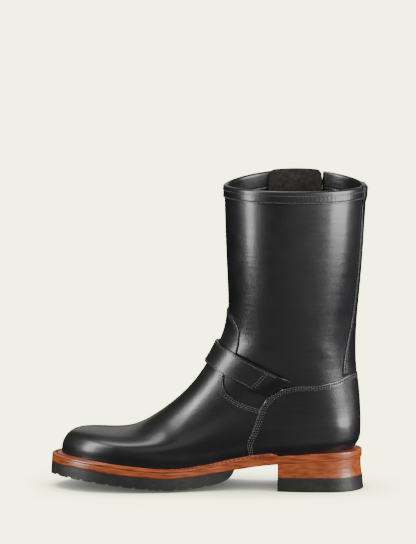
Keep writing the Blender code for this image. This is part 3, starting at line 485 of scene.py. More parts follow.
# Ankle folds and soft hollows: place, direction and size in millimetres
FOLDS = (
    # angle, ring, turn, length, width, height
    (27, 12.2, 82, 44, 19.0, -2.8),
    (32, 13.3, 82, 40, 18.0, -1.2),
    (81, 11.0, 0, 34, 26.0, 1.6),
    (24, 9.4, 90, 32, 15.0, -2.2),
    (338, 9.2, 90, 30, 12.0, -1.4),
    (57, 12.0, -40, 22, 7.0, 0.4),
    (128, 12.2, 60, 16, 8.0, -0.4),
    (178, 4.2, 0, 36, 26.0, 1.5),
    (150, 4.8, 0, 30, 12.0, 0.5),
    (324, 12.2, 113, 42, 14.0, -2.4),
    (279, 11.0, 0, 34, 26.0, 1.2),
    (275, 11.9, -15, 22, 6.0, -0.5),
    (304, 11.7, 14, 22, 6.0, -0.5),
)
EDGE_ROUND = 0.0009
SEAM_PRESS = 0.00012
PITCH = 0.0026
THREAD = 0.00050
STITCH_ROW = 0.0016
STITCH_STEP = 0.0018
THREAD_SINK = 0.00010
SEAM_WIDTH = 0.0005
WELD = 0.000001


def fold_relief(points, normals):
    """Height of the leather's soft folds above the last's plain surface."""
    height = np.zeros(points.shape[:-1])
    for angle, ring, turn, length, width, rise in FOLDS:
        phi = math.radians(angle)
        centre = soft_surface(phi, ring)
        out = surface_normal(phi, ring)
        flat = np.cross(np.array([0, 0, 1.0]), out)
        flat = flat / np.linalg.norm(flat)
        steep = np.cross(out, flat)
        lean = math.radians(turn)
        along = flat * math.cos(lean) + steep * math.sin(lean)
        across = np.cross(out, along)
        away = points - centre
        run = away @ along / (length / 1000)
        side = away @ across / (width / 1000)
        facing = np.clip(normals @ out, 0, 1)
        height += rise / 1000 * np.exp(-run ** 2 - side ** 2) * facing
    return height


def skin(phi, ring, offset):
    """Point at a distance outside the leather's surface, folds included."""
    phi, ring = np.broadcast_arrays(np.asarray(phi, dtype=float), np.asarray(ring, dtype=float))
    points = soft_surface(phi, ring)
    normals = surface_normal(phi, ring)
    rise = fold_relief(points, normals) * smooth_step(TOP_RING, TOP_RING - 1, ring)
    total = rise + np.broadcast_to(offset, phi.shape)
    return points + normals * total[..., None]


def shift_curve(phi, ring, distance):
    """Move a curve on the surface sideways by a distance, to the left seen from outside."""
    points = soft_surface(phi, ring)
    normals = surface_normal(phi, ring)
    along = np.gradient(points, axis=0)
    along = along / np.maximum(np.linalg.norm(along, axis=-1, keepdims=True), 1e-9)
    side = np.cross(normals, along) * distance
    step = 0.005
    by_phi = (soft_surface(phi + step, ring) - soft_surface(phi - step, ring)) / (2 * step)
    low = np.clip(ring - step, 0, TOP_RING)
    high = np.clip(ring + step, 0, TOP_RING)
    by_ring = (soft_surface(phi, high) - soft_surface(phi, low)) / (high - low)[:, None]
    a = np.sum(by_phi * by_phi, axis=-1)
    b = np.sum(by_phi * by_ring, axis=-1)
    c = np.sum(by_ring * by_ring, axis=-1)
    u = np.sum(side * by_phi, axis=-1)
    v = np.sum(side * by_ring, axis=-1)
    scale = a * c - b * b
    return phi + (u * c - v * b) / scale, ring + (v * a - u * b) / scale


# Mesh building

def make_object(name, points, faces, material, weld=0.0, sharp=40):
    mesh = bpy.data.meshes.new(name)
    mesh.from_pydata(points.tolist(), [], faces)
    bm = bmesh.new()
    bm.from_mesh(mesh)
    if weld:
        bmesh.ops.remove_doubles(bm, verts=bm.verts, dist=weld)
    bmesh.ops.recalc_face_normals(bm, faces=bm.faces)
    bm.to_mesh(mesh)
    bm.free()
    mesh.shade_smooth()
    mesh.set_sharp_from_angle(angle=math.radians(sharp))
    item = bpy.data.objects.new(name, mesh)
    bpy.context.scene.collection.objects.link(item)
    mesh.materials.append(material)
    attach(item, "root")
    return item


def quads(index):
    corners = (index[:-1, :-1], index[:-1, 1:], index[1:, 1:], index[1:, :-1])
    return np.stack([corner.ravel() for corner in corners], axis=1)


def strip(first, second):
    return quads(np.stack([first, second]))


def solid(name, near, far, material, back=True, weld=WELD):
    """Body between two grids. Without its back it is a skin with turned-down edges."""
    rows, columns = near.shape[:2]
    index = np.arange(rows * columns).reshape(rows, columns)
    over = index + rows * columns
    faces = [quads(over)]
    if back:
        faces.append(quads(index)[:, ::-1])
    faces.append(strip(index[0], over[0])[:, ::-1])
    faces.append(strip(index[-1], over[-1]))
    faces.append(strip(index[:, 0], over[:, 0]))
    faces.append(strip(index[:, -1], over[:, -1])[:, ::-1])
    points = np.concatenate([near.reshape(-1, 3), far.reshape(-1, 3)])
    return make_object(name, points, np.concatenate(faces).tolist(), material, weld)


def edge_places(count, length, low=True, high=True):
    """Shares of a length, close together near its edges where the leather is rounded."""
    close = np.array([0, 0.15, 0.4, 0.9, 1.3, 1.6, 1.9, 2.4, 3.2]) / 1000 / length
    start = close if low else np.array([0.0])
    stop = 1 - close[::-1] if high else np.array([1.0])
    middle = np.linspace(start[-1], stop[0], count)[1:-1]
    return np.concatenate([start, middle, stop])


def edge_lift(share, length, low=True, high=True):
    """Thickness of a leather piece from 0.4 at its trimmed edges to 1, pressed down at the seam."""
    far_away = np.full_like(share, 1.0)
    distance = np.minimum(share * length if low else far_away, (1 - share) * length if high else far_away)
    return 0.4 + 0.6 * rounded(distance / EDGE_ROUND), np.exp(-((distance - STITCH_ROW) / SEAM_WIDTH) ** 2)


def combine(first, second, thickness):
    lift = np.minimum(first[0][:, None], second[0][None, :])
    press = np.maximum(first[1][:, None], second[1][None, :])
    return thickness * lift - SEAM_PRESS * press


def tube(name, points, radius, material, closed=False):
    """Round bar along points, with rounded ends."""
    sides = 16
    points = np.array(points)
    if closed:
        along = np.roll(points, -1, axis=0) - np.roll(points, 1, axis=0)
    else:
        along = np.gradient(points, axis=0)
    along = along / np.linalg.norm(along, axis=1, keepdims=True)
    side = np.cross(along, np.array([0.31, 0.05, 0.95]))
    side = side / np.linalg.norm(side, axis=1, keepdims=True)
    up = np.cross(along, side)
    turn = np.linspace(0, 2 * math.pi, sides, endpoint=False)
    ring = np.cos(turn)[None, :, None] * side[:, None, :] + np.sin(turn)[None, :, None] * up[:, None, :]
    if not closed:
        cap = np.array([1.0, 0.92, 0.7, 0.38, 0.02])
        push = np.array([0.0, 0.38, 0.7, 0.92, 1.0]) * radius
        first = points[0] - along[0] * push[::-1, None]
        last = points[-1] + along[-1] * push[:, None]
        radii = np.concatenate([cap[::-1], np.ones(len(points) - 2), cap])
        points = np.concatenate([first, points[1:-1], last])
        ring = np.concatenate([np.repeat(ring[:1], 5, axis=0), ring[1:-1], np.repeat(ring[-1:], 5, axis=0)])
    else:
        radii = np.ones(len(points))
    grid = points[:, None, :] + ring * (radii * radius)[:, None, None]
    index = np.arange(grid.shape[0] * sides).reshape(grid.shape[0], sides)
    index = np.concatenate([index, index[:, :1]], axis=1)
    if closed:
        index = np.concatenate([index, index[:1]], axis=0)
    faces = quads(index).tolist()
    if not closed:
        faces.append(index[0, :-1].tolist())
        faces.append(index[-1, :-1].tolist())
    return make_object(name, grid.reshape(-1, 3), faces, material)


# Stitches

def resample(points, normals, pitch):
    steps = np.linalg.norm(np.diff(points, axis=0), axis=1)
    place = np.concatenate([[0], np.cumsum(steps)])
    count = max(int(place[-1] / pitch), 1)
    wanted = (np.arange(count) + 0.5) * place[-1] / count
    spots = np.stack([np.interp(wanted, place, points[:, k]) for k in range(3)], axis=1)
    out = np.stack([np.interp(wanted, place, normals[:, k]) for k in range(3)], axis=1)
    ahead = np.stack([np.interp(wanted + pitch / 2, place, points[:, k]) for k in range(3)], axis=1)
    behind = np.stack([np.interp(wanted - pitch / 2, place, points[:, k]) for k in range(3)], axis=1)
    along = ahead - behind
    return spots, out, along / np.linalg.norm(along, axis=1, keepdims=True), place[-1] / count


def stitch_mesh(name, runs, radius, pitch, material, fill=0.74):
    """All stitches of one thread: each is a short rounded length of thread, half sunk."""
    sides = 6
    turn = np.linspace(0, 2 * math.pi, sides, endpoint=False)
    lengths = np.array([-1.0, -0.86, -0.45, 0.0, 0.45, 0.86, 1.0])
    widths = np.array([0.15, 0.72, 0.97, 1.0, 0.97, 0.72, 0.15])
    sink = np.array([-1.1, -0.5, -0.08, 0.0, -0.08, -0.5, -1.1])
    points, faces = [], []
    size = len(lengths) * sides
    template = np.arange(size).reshape(len(lengths), sides)
    template = quads(np.concatenate([template, template[:, :1]], axis=1))
    count = 0
    for curve, normals in runs:
        spots, out, along, step = resample(curve, normals, pitch)
        out = out / np.linalg.norm(out, axis=1, keepdims=True)
        side = np.cross(out, along)
        half = step * fill / 2
        lean = along + side * 0.08
        body = (spots[:, None, None, :]
                + lean[:, None, None, :] * (lengths * half)[None, :, None, None]
                + side[:, None, None, :] * (widths[:, None] * np.cos(turn) * radius)[None, :, :, None]
                + out[:, None, None, :] * (widths[:, None] * np.sin(turn) * radius
                                           + sink[:, None] * radius)[None, :, :, None])
        points.append(body.reshape(-1, 3))
        starts = count + np.arange(len(spots)) * size
        faces.append((template[None, :, :] + starts[:, None, None]).reshape(-1, 4))
        count += len(spots) * size
    return make_object(name, np.concatenate(points), np.concatenate(faces).tolist(), material, sharp=80)


def surface_run(phi, ring, offset):
    phi = np.asarray(phi, dtype=float)
    ring = np.asarray(ring, dtype=float)
    return skin(phi, ring, offset), surface_normal(phi, ring)


# Upper pieces

def slit_bottom():
    rings = np.linspace(TOP_RING - 6, TOP_RING, 400)
    heights = soft_surface(np.full_like(rings, SLIT_ANGLE), rings)[:, 2]
    return float(np.interp(heights[-1] - SLIT_LENGTH, heights, rings))


def slit_angle(ring):
    """Half the angle that the slit takes on a ring, 0 below it."""
    bottom = slit_bottom()
    climb = np.clip((ring - bottom) / (TOP_RING - bottom), 0, 1)
    half = (0.14 + 0.36 * climb) * SLIT_WIDTH * rounded(climb / 0.03)
    return half / (ring_span(ring) / 2)


def shaft_columns(count, ring):
    t = np.linspace(0, 1, count)
    gap = slit_angle(ring)[:, None]
    return SLIT_ANGLE + gap + t[None, :] * (2 * math.pi - 2 * gap)


def make_shaft(material):
    bottom = slit_bottom()
    rings = np.concatenate([np.linspace(0, 8, 22), np.linspace(8.1, bottom, 60),
                            bottom + np.linspace(0.004, 0.1, 6), np.linspace(bottom + 0.14, TOP_RING, 50)])
    phi = shaft_columns(260, rings)
    ring = np.repeat(rings[:, None], phi.shape[1], axis=1)
    outer = skin(phi, ring, 0.0)
    inner = skin(phi, ring, -WALL)
    shaft = solid("shaft", inner, outer, material)
    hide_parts("upper")


def vamp_reach(ring):
    """Half the vamp's angle on a ring: the tongue ends in a round tip."""
    table = np.radians(column(VAMP_EDGE, 1, ring))
    round_tip = TONGUE_HALF * np.sqrt(np.clip(1 - ((ring - TONGUE_RING) / TONGUE_TIP) ** 2, 0, 1))
    seam = math.pi - np.radians(column(COUNTER_EDGE, 1, ring)) + VAMP_UNDER
    return np.minimum(np.where(ring > TONGUE_RING, round_tip, table), seam)


def make_vamp(material):
    length, width = VAMP_SPAN
    share = edge_places(130, length, low=False)
    rings = (TONGUE_RING + TONGUE_TIP) * share
    across = edge_places(150, width)
    reach = vamp_reach(rings)
    phi = math.pi + (across[None, :] * 2 - 1) * reach[:, None]
    ring = np.repeat(rings[:, None], len(across), axis=1)
    height = combine(edge_lift(share, length, low=False), edge_lift(across, width), OVERLAY)
    vamp = solid("vamp_leather", skin(phi, ring, 0.0), skin(phi, ring, height), material, back=False,
                 weld=3 * WELD)
    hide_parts("vamp")


def make_counter(material):
    height, width = COUNTER_SPAN
    share = edge_places(90, height, low=False)
    across = edge_places(130, width)
    side = across * 2 - 1
    top = np.full(len(side), COUNTER_TOP[-1][1])
    for _ in range(12):
        top = column(COUNTER_TOP, 1, np.abs(side) * column(COUNTER_EDGE, 1, top))
    ring = share[:, None] * top[None, :]
    reach = np.radians(column(COUNTER_EDGE, 1, ring))
    phi = side[None, :] * reach
    lift = combine(edge_lift(share, height, low=False), edge_lift(across, width), COUNTER_THICKNESS)
    counter = solid("counter_leather", skin(phi, ring, 0.0), skin(phi, ring, lift), material, back=False,
                    weld=3 * WELD)
    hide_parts("counter_cover")


def counter_edge():
    """The counter's front and top edge as angle and ring, from the medial foot over the back."""
    rings = np.linspace(0.3, COUNTER_TOP[-1][1], 60)
    front = np.radians(column(COUNTER_EDGE, 1, rings))
    angles = np.radians(np.linspace(COUNTER_TOP[-1][0], -COUNTER_TOP[-1][0], 160))
    tops = column(COUNTER_TOP, 1, np.abs(np.degrees(angles)))
    phi = np.concatenate([front, angles[1:-1], -front[::-1]])
    ring = np.concatenate([rings, tops[1:-1], rings[::-1]])
    return smooth_curve(phi, ring)


def smooth_curve(phi, ring):
    """Even out a curve's spacing and soften its corners."""
    points = soft_surface(phi, ring)
    place = np.concatenate([[0], np.cumsum(np.linalg.norm(np.diff(points, axis=0), axis=1))])
    even = np.linspace(0, place[-1], 400)
    result = []
    for values in (np.interp(even, place, phi), np.interp(even, place, ring)):
        padded = np.concatenate([np.full(8, values[0]), values, np.full(8, values[-1])])
        result.append(np.convolve(padded, np.ones(17) / 17, mode="valid"))
    return result


def rim_profile(bottom, inside, offset, thickness, rows):
    """Rings, offsets and lifts of a strip over the rim: its under side and its outer side."""
    up = np.linspace(bottom, TOP_RING, rows)
    turn = np.linspace(0, math.pi, 11)[1:-1]
    down = np.linspace(TOP_RING, inside, rows)
    ring = np.concatenate([up, np.full(len(turn), TOP_RING), down])
    sides = []
    for reach in (offset, offset + thickness):
        radius = WALL / 2 + reach
        distance = np.concatenate([np.full(rows, reach), -WALL / 2 + radius * np.cos(turn),
                                   np.full(rows, -WALL - reach)])
        lift = np.concatenate([np.zeros(rows), radius * np.sin(turn), np.zeros(rows)])
        sides.append((distance, lift))
    return ring, sides


def rim_strip(name, phi, ring, sides, taper, material):
    """Solid of a strip over the rim; taper holds its thickness at each place."""
    grids = []
    for distance, lift in sides:
        grid = skin(phi, np.broadcast_to(ring[:, None], phi.shape), distance[:, None])
        grid[..., 2] += lift[:, None]
        grids.append(grid)
    near, far = grids
    far = near + (far - near) * taper[..., None]
    return solid(name, near, far, material)


def rings_for(length):
    """Rings down from the rim that a length on the upper shaft takes."""
    return length / (SHAFT_HEIGHT - INSTEP_HEIGHT) * SHAFT_RINGS


def make_collar_band(material):
    bottom = TOP_RING - rings_for(COLLAR_BAND_HEIGHT)
    inside = TOP_RING - rings_for(COLLAR_BAND_INSIDE)
    ring, sides = rim_profile(bottom, inside, BINDING_GAP, BINDING, 26)
    t = edge_places(240, COLLAR_ROUND)
    gap = slit_angle(np.array([TOP_RING - 0.3]))[0]
    phi = SLIT_ANGLE + gap + t * (2 * math.pi - 2 * gap)
    phi = np.repeat(phi[None, :], len(ring), axis=0)
    reach = COLLAR_BAND_HEIGHT + COLLAR_BAND_INSIDE + WALL
    places = np.concatenate([[0], np.cumsum(np.abs(np.diff(ring)) + 0.02)])
    share = places / places[-1]
    lift, press = edge_lift(share, reach)
    side_lift, _ = edge_lift(t, COLLAR_ROUND)
    puckers = 0.22 * np.sin(phi[0] * 150) * np.exp(-((phi[0] - 2 * math.pi - 1.25) / 0.7) ** 2)
    taper = np.minimum(lift[:, None], side_lift[None, :]) - 0.25 * press[:, None]
    taper = taper + puckers[None, :] * np.exp(-((share - 0.22) / 0.12) ** 2)[:, None]
    band = rim_strip("collar_binding", phi, ring, sides, taper, material)
    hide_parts("collar_band")


def stay_half(ring):
    """Half the back stay's angle: it widens to its foot on the counter."""
    width = STAY_WIDTH / 2 * (1 + 0.9 * smooth_step(13.2, 11.0, ring))
    angles = np.linspace(0, 1.0, 160)
    table = soft_surface(angles[None, :], np.asarray(ring)[:, None])
    steps = np.linalg.norm(np.diff(table, axis=1), axis=2)
    lengths = np.concatenate([np.zeros((len(table), 1)), np.cumsum(steps, axis=1)], axis=1)
    return np.array([np.interp(size, row, angles) for size, row in zip(width, lengths)])


def make_back_stay(material):
    bottom = COUNTER_TOP[0][1] - 0.12
    inside = TOP_RING - rings_for(STAY_INSIDE)
    ring, sides = rim_profile(bottom, inside, BINDING_GAP, STAY_THICKNESS, 60)
    band = TOP_RING - rings_for(COLLAR_BAND_HEIGHT)
    step = BINDING * smooth_step(band - 0.12, band + 0.05, ring)
    middle = len(ring) // 2
    sign = np.where(np.arange(len(ring)) <= middle, 1.0, -1.0)
    raised = []
    for distance, lift in sides:
        raised.append((distance + step * sign * (lift == 0), lift + step * (lift > 0)))
    across = edge_places(30, STAY_WIDTH)
    half = stay_half(ring)
    phi = (across * 2 - 1)[None, :] * half[:, None]
    lift, press = edge_lift(across, STAY_WIDTH)
    share = np.linspace(0, 1, len(ring))
    ends, _ = edge_lift(share, 0.2)
    taper = np.minimum(lift[None, :], ends[:, None]) - 0.10 * press[None, :]
    stay = rim_strip("back_stay_leather", phi, ring, raised, taper, material)
    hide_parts("back_stay")


def make_gusset(material):
    """Suede-side panel inside the slit, with rounded top corners."""
    low = TOP_RING - rings_for(SLIT_LENGTH + STAY_INSIDE / 3)
    reach = (GUSSET_STOP - GUSSET_START) / 2
    t = np.linspace(-1, 1, 70)
    share = np.concatenate([np.linspace(0, 0.9, 60), np.linspace(0.91, 1, 14)])
    phi = (GUSSET_START + GUSSET_STOP) / 2 + reach * t[None, :] * np.ones((len(share), 1))
    corner = 1 - 0.09 * (1 - np.sqrt(np.clip(1 - np.clip((np.abs(t) - 0.78) / 0.22, 0, 1) ** 2, 0, 1)))
    ring = low + (TOP_RING - low) * share[:, None] * corner[None, :]
    lift = GUSSET_RISE * smooth_step(TOP_RING - 0.7, TOP_RING, ring)
    offset = -WALL - 2 * GAP - BINDING
    near = skin(phi, ring, offset - GUSSET_THICKNESS)
    far = skin(phi, ring, offset)
    near[..., 2] += lift
    far[..., 2] += lift
    panel = solid("gusset_panel", near, far, material)
    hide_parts("gusset")


# Straps and buckles

class StrapPath:
    """A strap round the leg in a plane: angles along it and places across its width from -1 to 1."""

    def __init__(self, normal, centre, width):
        self.normal = np.array(normal)
        self.width = width
        middle = float(self.normal @ np.array(centre))
        self.angles = np.linspace(0, 2 * math.pi, 480)
        self.shares = np.linspace(-1.6, 1.6, 65)
        rings = np.linspace(7.0, TOP_RING, 260)
        heights = soft_surface(self.angles[:, None], rings[None, :]) @ self.normal
        levels = middle + self.shares * width / 2
        self.table = np.array([np.interp(levels, row, rings) for row in heights])

    def ring(self, phi, share):
        """Ring at which the surface at each angle meets the strap's plane at each place across."""
        phi, share = np.broadcast_arrays(np.asarray(phi, dtype=float), np.asarray(share, dtype=float))
        u = np.interp(phi, self.angles, np.arange(len(self.angles)))
        v = np.interp(share, self.shares, np.arange(len(self.shares)))
        i = np.minimum(u.astype(int), len(self.angles) - 2)
        j = np.minimum(v.astype(int), len(self.shares) - 2)
        u, v = u - i, v - j
        low = self.table[i, j] * (1 - u) + self.table[i + 1, j] * u
        high = self.table[i, j + 1] * (1 - u) + self.table[i + 1, j + 1] * u
        return low * (1 - v) + high * v

    def points(self, phi, share, offset):
        phi, share, offset = np.broadcast_arrays(np.asarray(phi, dtype=float), share, offset)
        ring = self.ring(phi, share)
        normal = surface_normal(phi, ring)
        flat = normal - (normal @ self.normal)[..., None] * self.normal * 0.6
        flat = flat / np.linalg.norm(flat, axis=-1, keepdims=True)
        place = soft_surface(phi, ring)
        return place + flat * offset[..., None] + normal * fold_relief(place, normal)[..., None]

    def frame(self, phi, offset):
        before, here, after = self.points(np.array([phi - 0.02, phi, phi + 0.02]), 0.0, offset)
        along = (after - before) / np.linalg.norm(after - before)
        outward = np.cross(self.normal, along)
        outward = outward / np.linalg.norm(outward)
        return here, along, np.cross(along, outward), outward

    def run(self, phi, share, offset):
        """Line of points for stitches with the outward direction at each."""
        return self.points(phi, share, offset), surface_normal(phi, self.ring(phi, share))


def make_strap(name, path, start, stop, offset, thickness, slant, tail, material, node):
    """Strap with rounded edges. tail is how much of its start is thinned to go under a seam."""
    length = abs(stop - start) * COLLAR_WIDTH / 2
    t = edge_places(200, length, low=tail == 0)
    across = edge_places(18, path.width)
    side = (across * 2 - 1)[:, None]
    first = start - slant * side
    phi = first + (stop - first) * t[None, :]
    thin = 1 - 0.75 * smooth_step(tail, 0.0, phi - first) if tail else np.ones_like(phi)
    lift, _ = edge_lift(t, length, low=tail == 0)
    edge, groove = edge_lift(across, path.width)
    full = thickness * thin * np.minimum(lift[None, :], edge[:, None]) - SEAM_PRESS * 1.5 * groove[:, None]
    base = offset(phi) * thin
    near = path.points(phi, side, base)
    far = path.points(phi, side, base + np.maximum(full, 0.0002))
    item = solid(name, near, far, material)
    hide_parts(node)
    return item


def corner_round(points, radius):
    """Closed centre line through corner points with rounded corners."""
    result = []
    count = len(points)
    for index in range(count):
        before, here, after = points[index - 1], points[index], points[(index + 1) % count]
        first = here + (before - here) / np.linalg.norm(before - here) * radius
        last = here + (after - here) / np.linalg.norm(after - here) * radius
        for t in np.linspace(0, 1, 7):
            result.append(first * (1 - t) ** 2 + here * 2 * t * (1 - t) + last * t ** 2)
        result.append(after + (here - after) * 0.5)
    return result


def climb(base, bar_angle, rise):
    """Height of a strap's under side at an angle: it rises to go over the buckle's bar."""
    def offset(phi):
        return base + rise * smooth_step(bar_angle - 0.21, bar_angle - 0.03, phi)
    return offset


# thread is the near-black material for the painted shade of the strap holes, not stitching
def make_buckled_set(prefix, path, base, angles, tail, leather, metal, thread):
    """Strap, short strap, buckle, prong and keeper; gives back their lines of stitches."""
    start, buckle, tip, anchor, slant = angles
    bar = BUCKLE_WIRE
    rise = bar + CHAPE_LIFT + 3 * STRAP_GAP
    low = base + CHAPE_LIFT
    over = climb(base, buckle, rise)
    make_strap(f"{prefix}_strap_leather", path, start, tip, over, STRAP_THICKNESS, slant, tail, leather,
               f"{prefix}_strap")
    make_strap(f"{prefix}_short_leather", path, buckle + CHAPE_CLEAR, anchor, lambda phi: low + 0 * phi,
               SHORT_STRAP_THICKNESS, 0, 0, leather, f"{prefix}_short_strap")
    front_angle = buckle - BUCKLE_REACH
    front, _, across, outward = path.frame(front_angle, base + STRAP_THICKNESS + 3 * STRAP_GAP + bar / 2)
    rear, _, _, _ = path.frame(buckle, base + STRAP_GAP + bar / 2)
    half = path.width / 2 + BUCKLE_PLAY + bar / 2
    corners = [front - across * half, front + across * half, rear + across * half, rear - across * half]
    frame_item = tube(f"{prefix}_buckle_frame", corner_round(corners, bar * 1.1), bar / 2, metal, closed=True)
    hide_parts(f"{prefix}_buckle")
    roller = np.linspace(-0.84, 0.84, 9)[:, None] * across[None, :] * half + front
    tube(f"{prefix}_roller", roller, bar / 2 * 1.22, metal)
    direction = front + outward * (bar / 2 + PRONG_RADIUS + GAP * 2) - rear
    direction = direction / np.linalg.norm(direction)
    first = rear + direction * (bar / 2 + PRONG_RADIUS)
    reach = float((front - rear) @ direction) + bar * 0.9
    line = first + (rear + direction * reach - first) * np.linspace(0, 1, 12)[:, None]
    line = line + outward * (0.0006 * np.sin(np.linspace(0, math.pi, 12)))[:, None]
    prong = tube(f"{prefix}_prong_pin", line, PRONG_RADIUS, metal)
    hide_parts(f"{prefix}_prong")
    make_keeper(f"{prefix}_keeper", path, (buckle + CHAPE_CLEAR + tip) / 2, low + KEEPER_LIFT,
                base + rise + STRAP_THICKNESS, leather)
    edge = 1 - 0.0020 / (path.width / 2)
    top = STRAP_THICKNESS - 0.00012
    runs = []
    for side in (-1, 1):
        phi = np.linspace(start - slant * side + tail, tip - 0.03, 200)
        runs.append(path.run(phi, side * edge, over(phi) + top))
        phi = np.linspace(tip + 0.02, anchor - 0.03, 30)
        runs.append(path.run(phi, side * edge, np.full(30, low + SHORT_STRAP_THICKNESS)))
    across = np.linspace(-edge, edge, 12)
    phi = np.full(12, tip - 0.035)
    runs.append(path.run(phi, across, over(phi) + top))
    holes = []
    for k in range(-2, 3):
        phi = front_angle + 0.03 + k * 0.13
        if k and start + 0.3 < phi < tip - 0.1:
            holes.append((path, phi, over(phi) + STRAP_THICKNESS))
    # thread here is the near-black material that paints the shade inside the strap's holes
    make_hole_shade_discs(f"{prefix}_strap_hole_shade_discs", holes, thread)
    return runs


def make_hole_shade_discs(name, holes, material):
    """Painted shade of round punched holes: dark thin discs let into the strap in place of openings."""
    points, faces = [], []
    turn = np.linspace(0, 2 * math.pi, 16, endpoint=False)
    for path, phi, offset in holes:
        here, along, across, outward = path.frame(phi, offset)
        start = len(points)
        for t in turn:
            points.append(here + (along * math.cos(t) + across * math.sin(t)) * 0.0016 + outward * 0.00004)
        faces.append(list(range(start, start + 16)))
    if points:
        make_object(name, np.array(points), faces, material)


def make_keeper(prefix, path, phi, low, high, material):
    """Loop of leather over the strap's tip with rounded shoulders."""
    inner = 1 + STRAP_GAP * 1.5 / (path.width / 2)
    top = high + STRAP_GAP * 1.5
    turn = np.linspace(0, math.pi / 2, 7)
    before, after = path.points(np.array([phi - 0.02, phi + 0.02]), 0.0, high)
    half = KEEPER_WIDTH / 2 * 0.04 / np.linalg.norm(after - before)
    radius = 0.0012
    scale = path.width / 2
    lines = []
    for reach, height in ((inner, top), (inner + OVERLAY / scale, top + OVERLAY)):
        left = [(-reach, low), (-reach, low + 0.001)]
        for t in turn:
            left.append((-reach + radius / scale * (1 - math.cos(t)), height - radius * (1 - math.sin(t))))
        right = [(-share, offset) for share, offset in reversed(left)]
        lines.append(np.array(left + [(0.0, height)] + right))
    spread = edge_places(8, KEEPER_WIDTH)
    edge, _ = edge_lift(spread, KEEPER_WIDTH)
    angle = (phi + (spread * 2 - 1) * half)[:, None]
    inside, outside = (path.points(angle, line[None, :, 0], line[None, :, 1]) for line in lines)
    item = solid(f"{prefix}_loop", inside, inside + (outside - inside) * edge[:, None, None], material)
    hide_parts(prefix)


# thread is the near-black material for the painted shade of the strap holes, not stitching
def make_straps(leather, metal, thread):
    tilted = (math.sin(STRAP_TILT), 0.0, math.cos(STRAP_TILT))
    collar_centre = (0.0, 0.0, SHAFT_HEIGHT + SIDE_RISE - COLLAR_STRAP_DROP)
    paths = {
        "instep": StrapPath(tilted, STRAP_CENTRE, STRAP_WIDTH),
        "collar": StrapPath((0.0, 0.0, 1.0), collar_centre, COLLAR_STRAP_WIDTH),
    }
    bases = {"instep": GAP + OVERLAY + STRAP_GAP, "collar": STRAP_GAP}
    runs = []
    for name, *angles, tail in STRAPS:
        turned = [math.radians(angle) for angle in angles]
        runs += make_buckled_set(name, paths[name], bases[name], turned, tail, leather, metal, thread)
    return runs + box_stitch(paths["instep"])


def box_stitch(path):
    """Stitches that hold the strap's sewn end, down across it."""
    base = np.full(40, GAP + OVERLAY + STRAP_GAP + STRAP_THICKNESS)
    across = np.linspace(0.80, -0.75, 40)
    lean = np.linspace(math.radians(100), math.radians(106), 40)
    return [path.run(lean + shift, across, base) for shift in (0.0, 0.035)]


# Sole pieces

def foot_outline(count):
    """Closed outline of the sole seen from above, evenly spaced, and its outward direction."""
    u = (1 - np.cos(np.linspace(0, math.pi, count))) / 2
    x = SEAT_BACK - SOLE_LENGTH * u
    half = outline_half(x)
    centre = outline_centre(x)
    medial = np.stack([x, centre - half], axis=1)
    lateral = np.stack([x, centre + half], axis=1)[::-1]
    return even_loop(np.concatenate([medial[:-1], lateral[:-1]]), count * 2)


def even_loop(points, count):
    ring = np.concatenate([points, points[:1]])
    place = np.concatenate([[0], np.cumsum(np.linalg.norm(np.diff(ring, axis=0), axis=1))])
    even = np.linspace(0, place[-1], count, endpoint=False)
    loop = np.stack([np.interp(even, place, ring[:, k]) for k in range(2)], axis=1)
    along = np.roll(loop, -1, axis=0) - np.roll(loop, 1, axis=0)
    out = np.stack([along[:, 1], -along[:, 0]], axis=1)
    out = out / np.maximum(np.linalg.norm(out, axis=1, keepdims=True), 1e-9)
    middle = loop.mean(axis=0)
    if np.sum((loop - middle) * out) < 0:
        out = -out
    return loop, out


def slab(name, loop, out, profile, level, material, node):
    """Solid whose edge follows a profile of insets and heights round an outline."""
    centre = np.stack([loop[:, 0], outline_centre(loop[:, 0])], axis=1)
    rows = []
    first_inset, first_height = profile[0]
    for share in (1.0, 0.75, 0.5, 0.25, 0.08):
        spot = loop - out * first_inset
        rows.append(level(spot + (centre - spot) * share, first_height))
    for inset, height in profile:
        rows.append(level(loop - out * inset, height))
    last_inset, last_height = profile[-1]
    for share in (0.08, 0.25, 0.5, 0.75, 1.0):
        spot = loop - out * last_inset
        rows.append(level(spot + (centre - spot) * share, last_height))
    grid = np.stack(rows)
    index = np.arange(grid.shape[0] * grid.shape[1]).reshape(grid.shape[:2])
    index = np.concatenate([index, index[:, :1]], axis=1)
    item = make_object(name, grid.reshape(-1, 3), quads(index).tolist(), material, weld=WELD, sharp=50)
    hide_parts(node)
    return item


def rounded_edge(thickness, top, bottom):
    """Insets and shares of the depth, from the top inwards, over the side, to the bottom inwards."""
    deep = 0.004
    turn = np.linspace(0, math.pi / 2, 6)
    profile = [(deep, 0.0)]
    profile += [(top * (1 - math.sin(t)), top * (1 - math.cos(t))) for t in turn]
    profile += [(0.0, top + (thickness - top - bottom) * t) for t in np.linspace(0, 1, 6)[1:-1]]
    profile += [(bottom * (1 - math.cos(t)), thickness - bottom * (1 - math.sin(t))) for t in turn]
    profile.append((deep, thickness))
    return [(inset, depth / thickness) for inset, depth in profile]


def make_midsole(material):
    loop, out = foot_outline(200)

    def level(plan, share):
        x, y = plan[:, 0], plan[:, 1]
        return sole_point(x, y, share * (MIDSOLE_THICKNESS + waist_extra(x)))

    profile = rounded_edge(MIDSOLE_THICKNESS, 0.0009, 0.0007)
    slab("midsole_leather", loop, out, profile, level, material, "midsole")


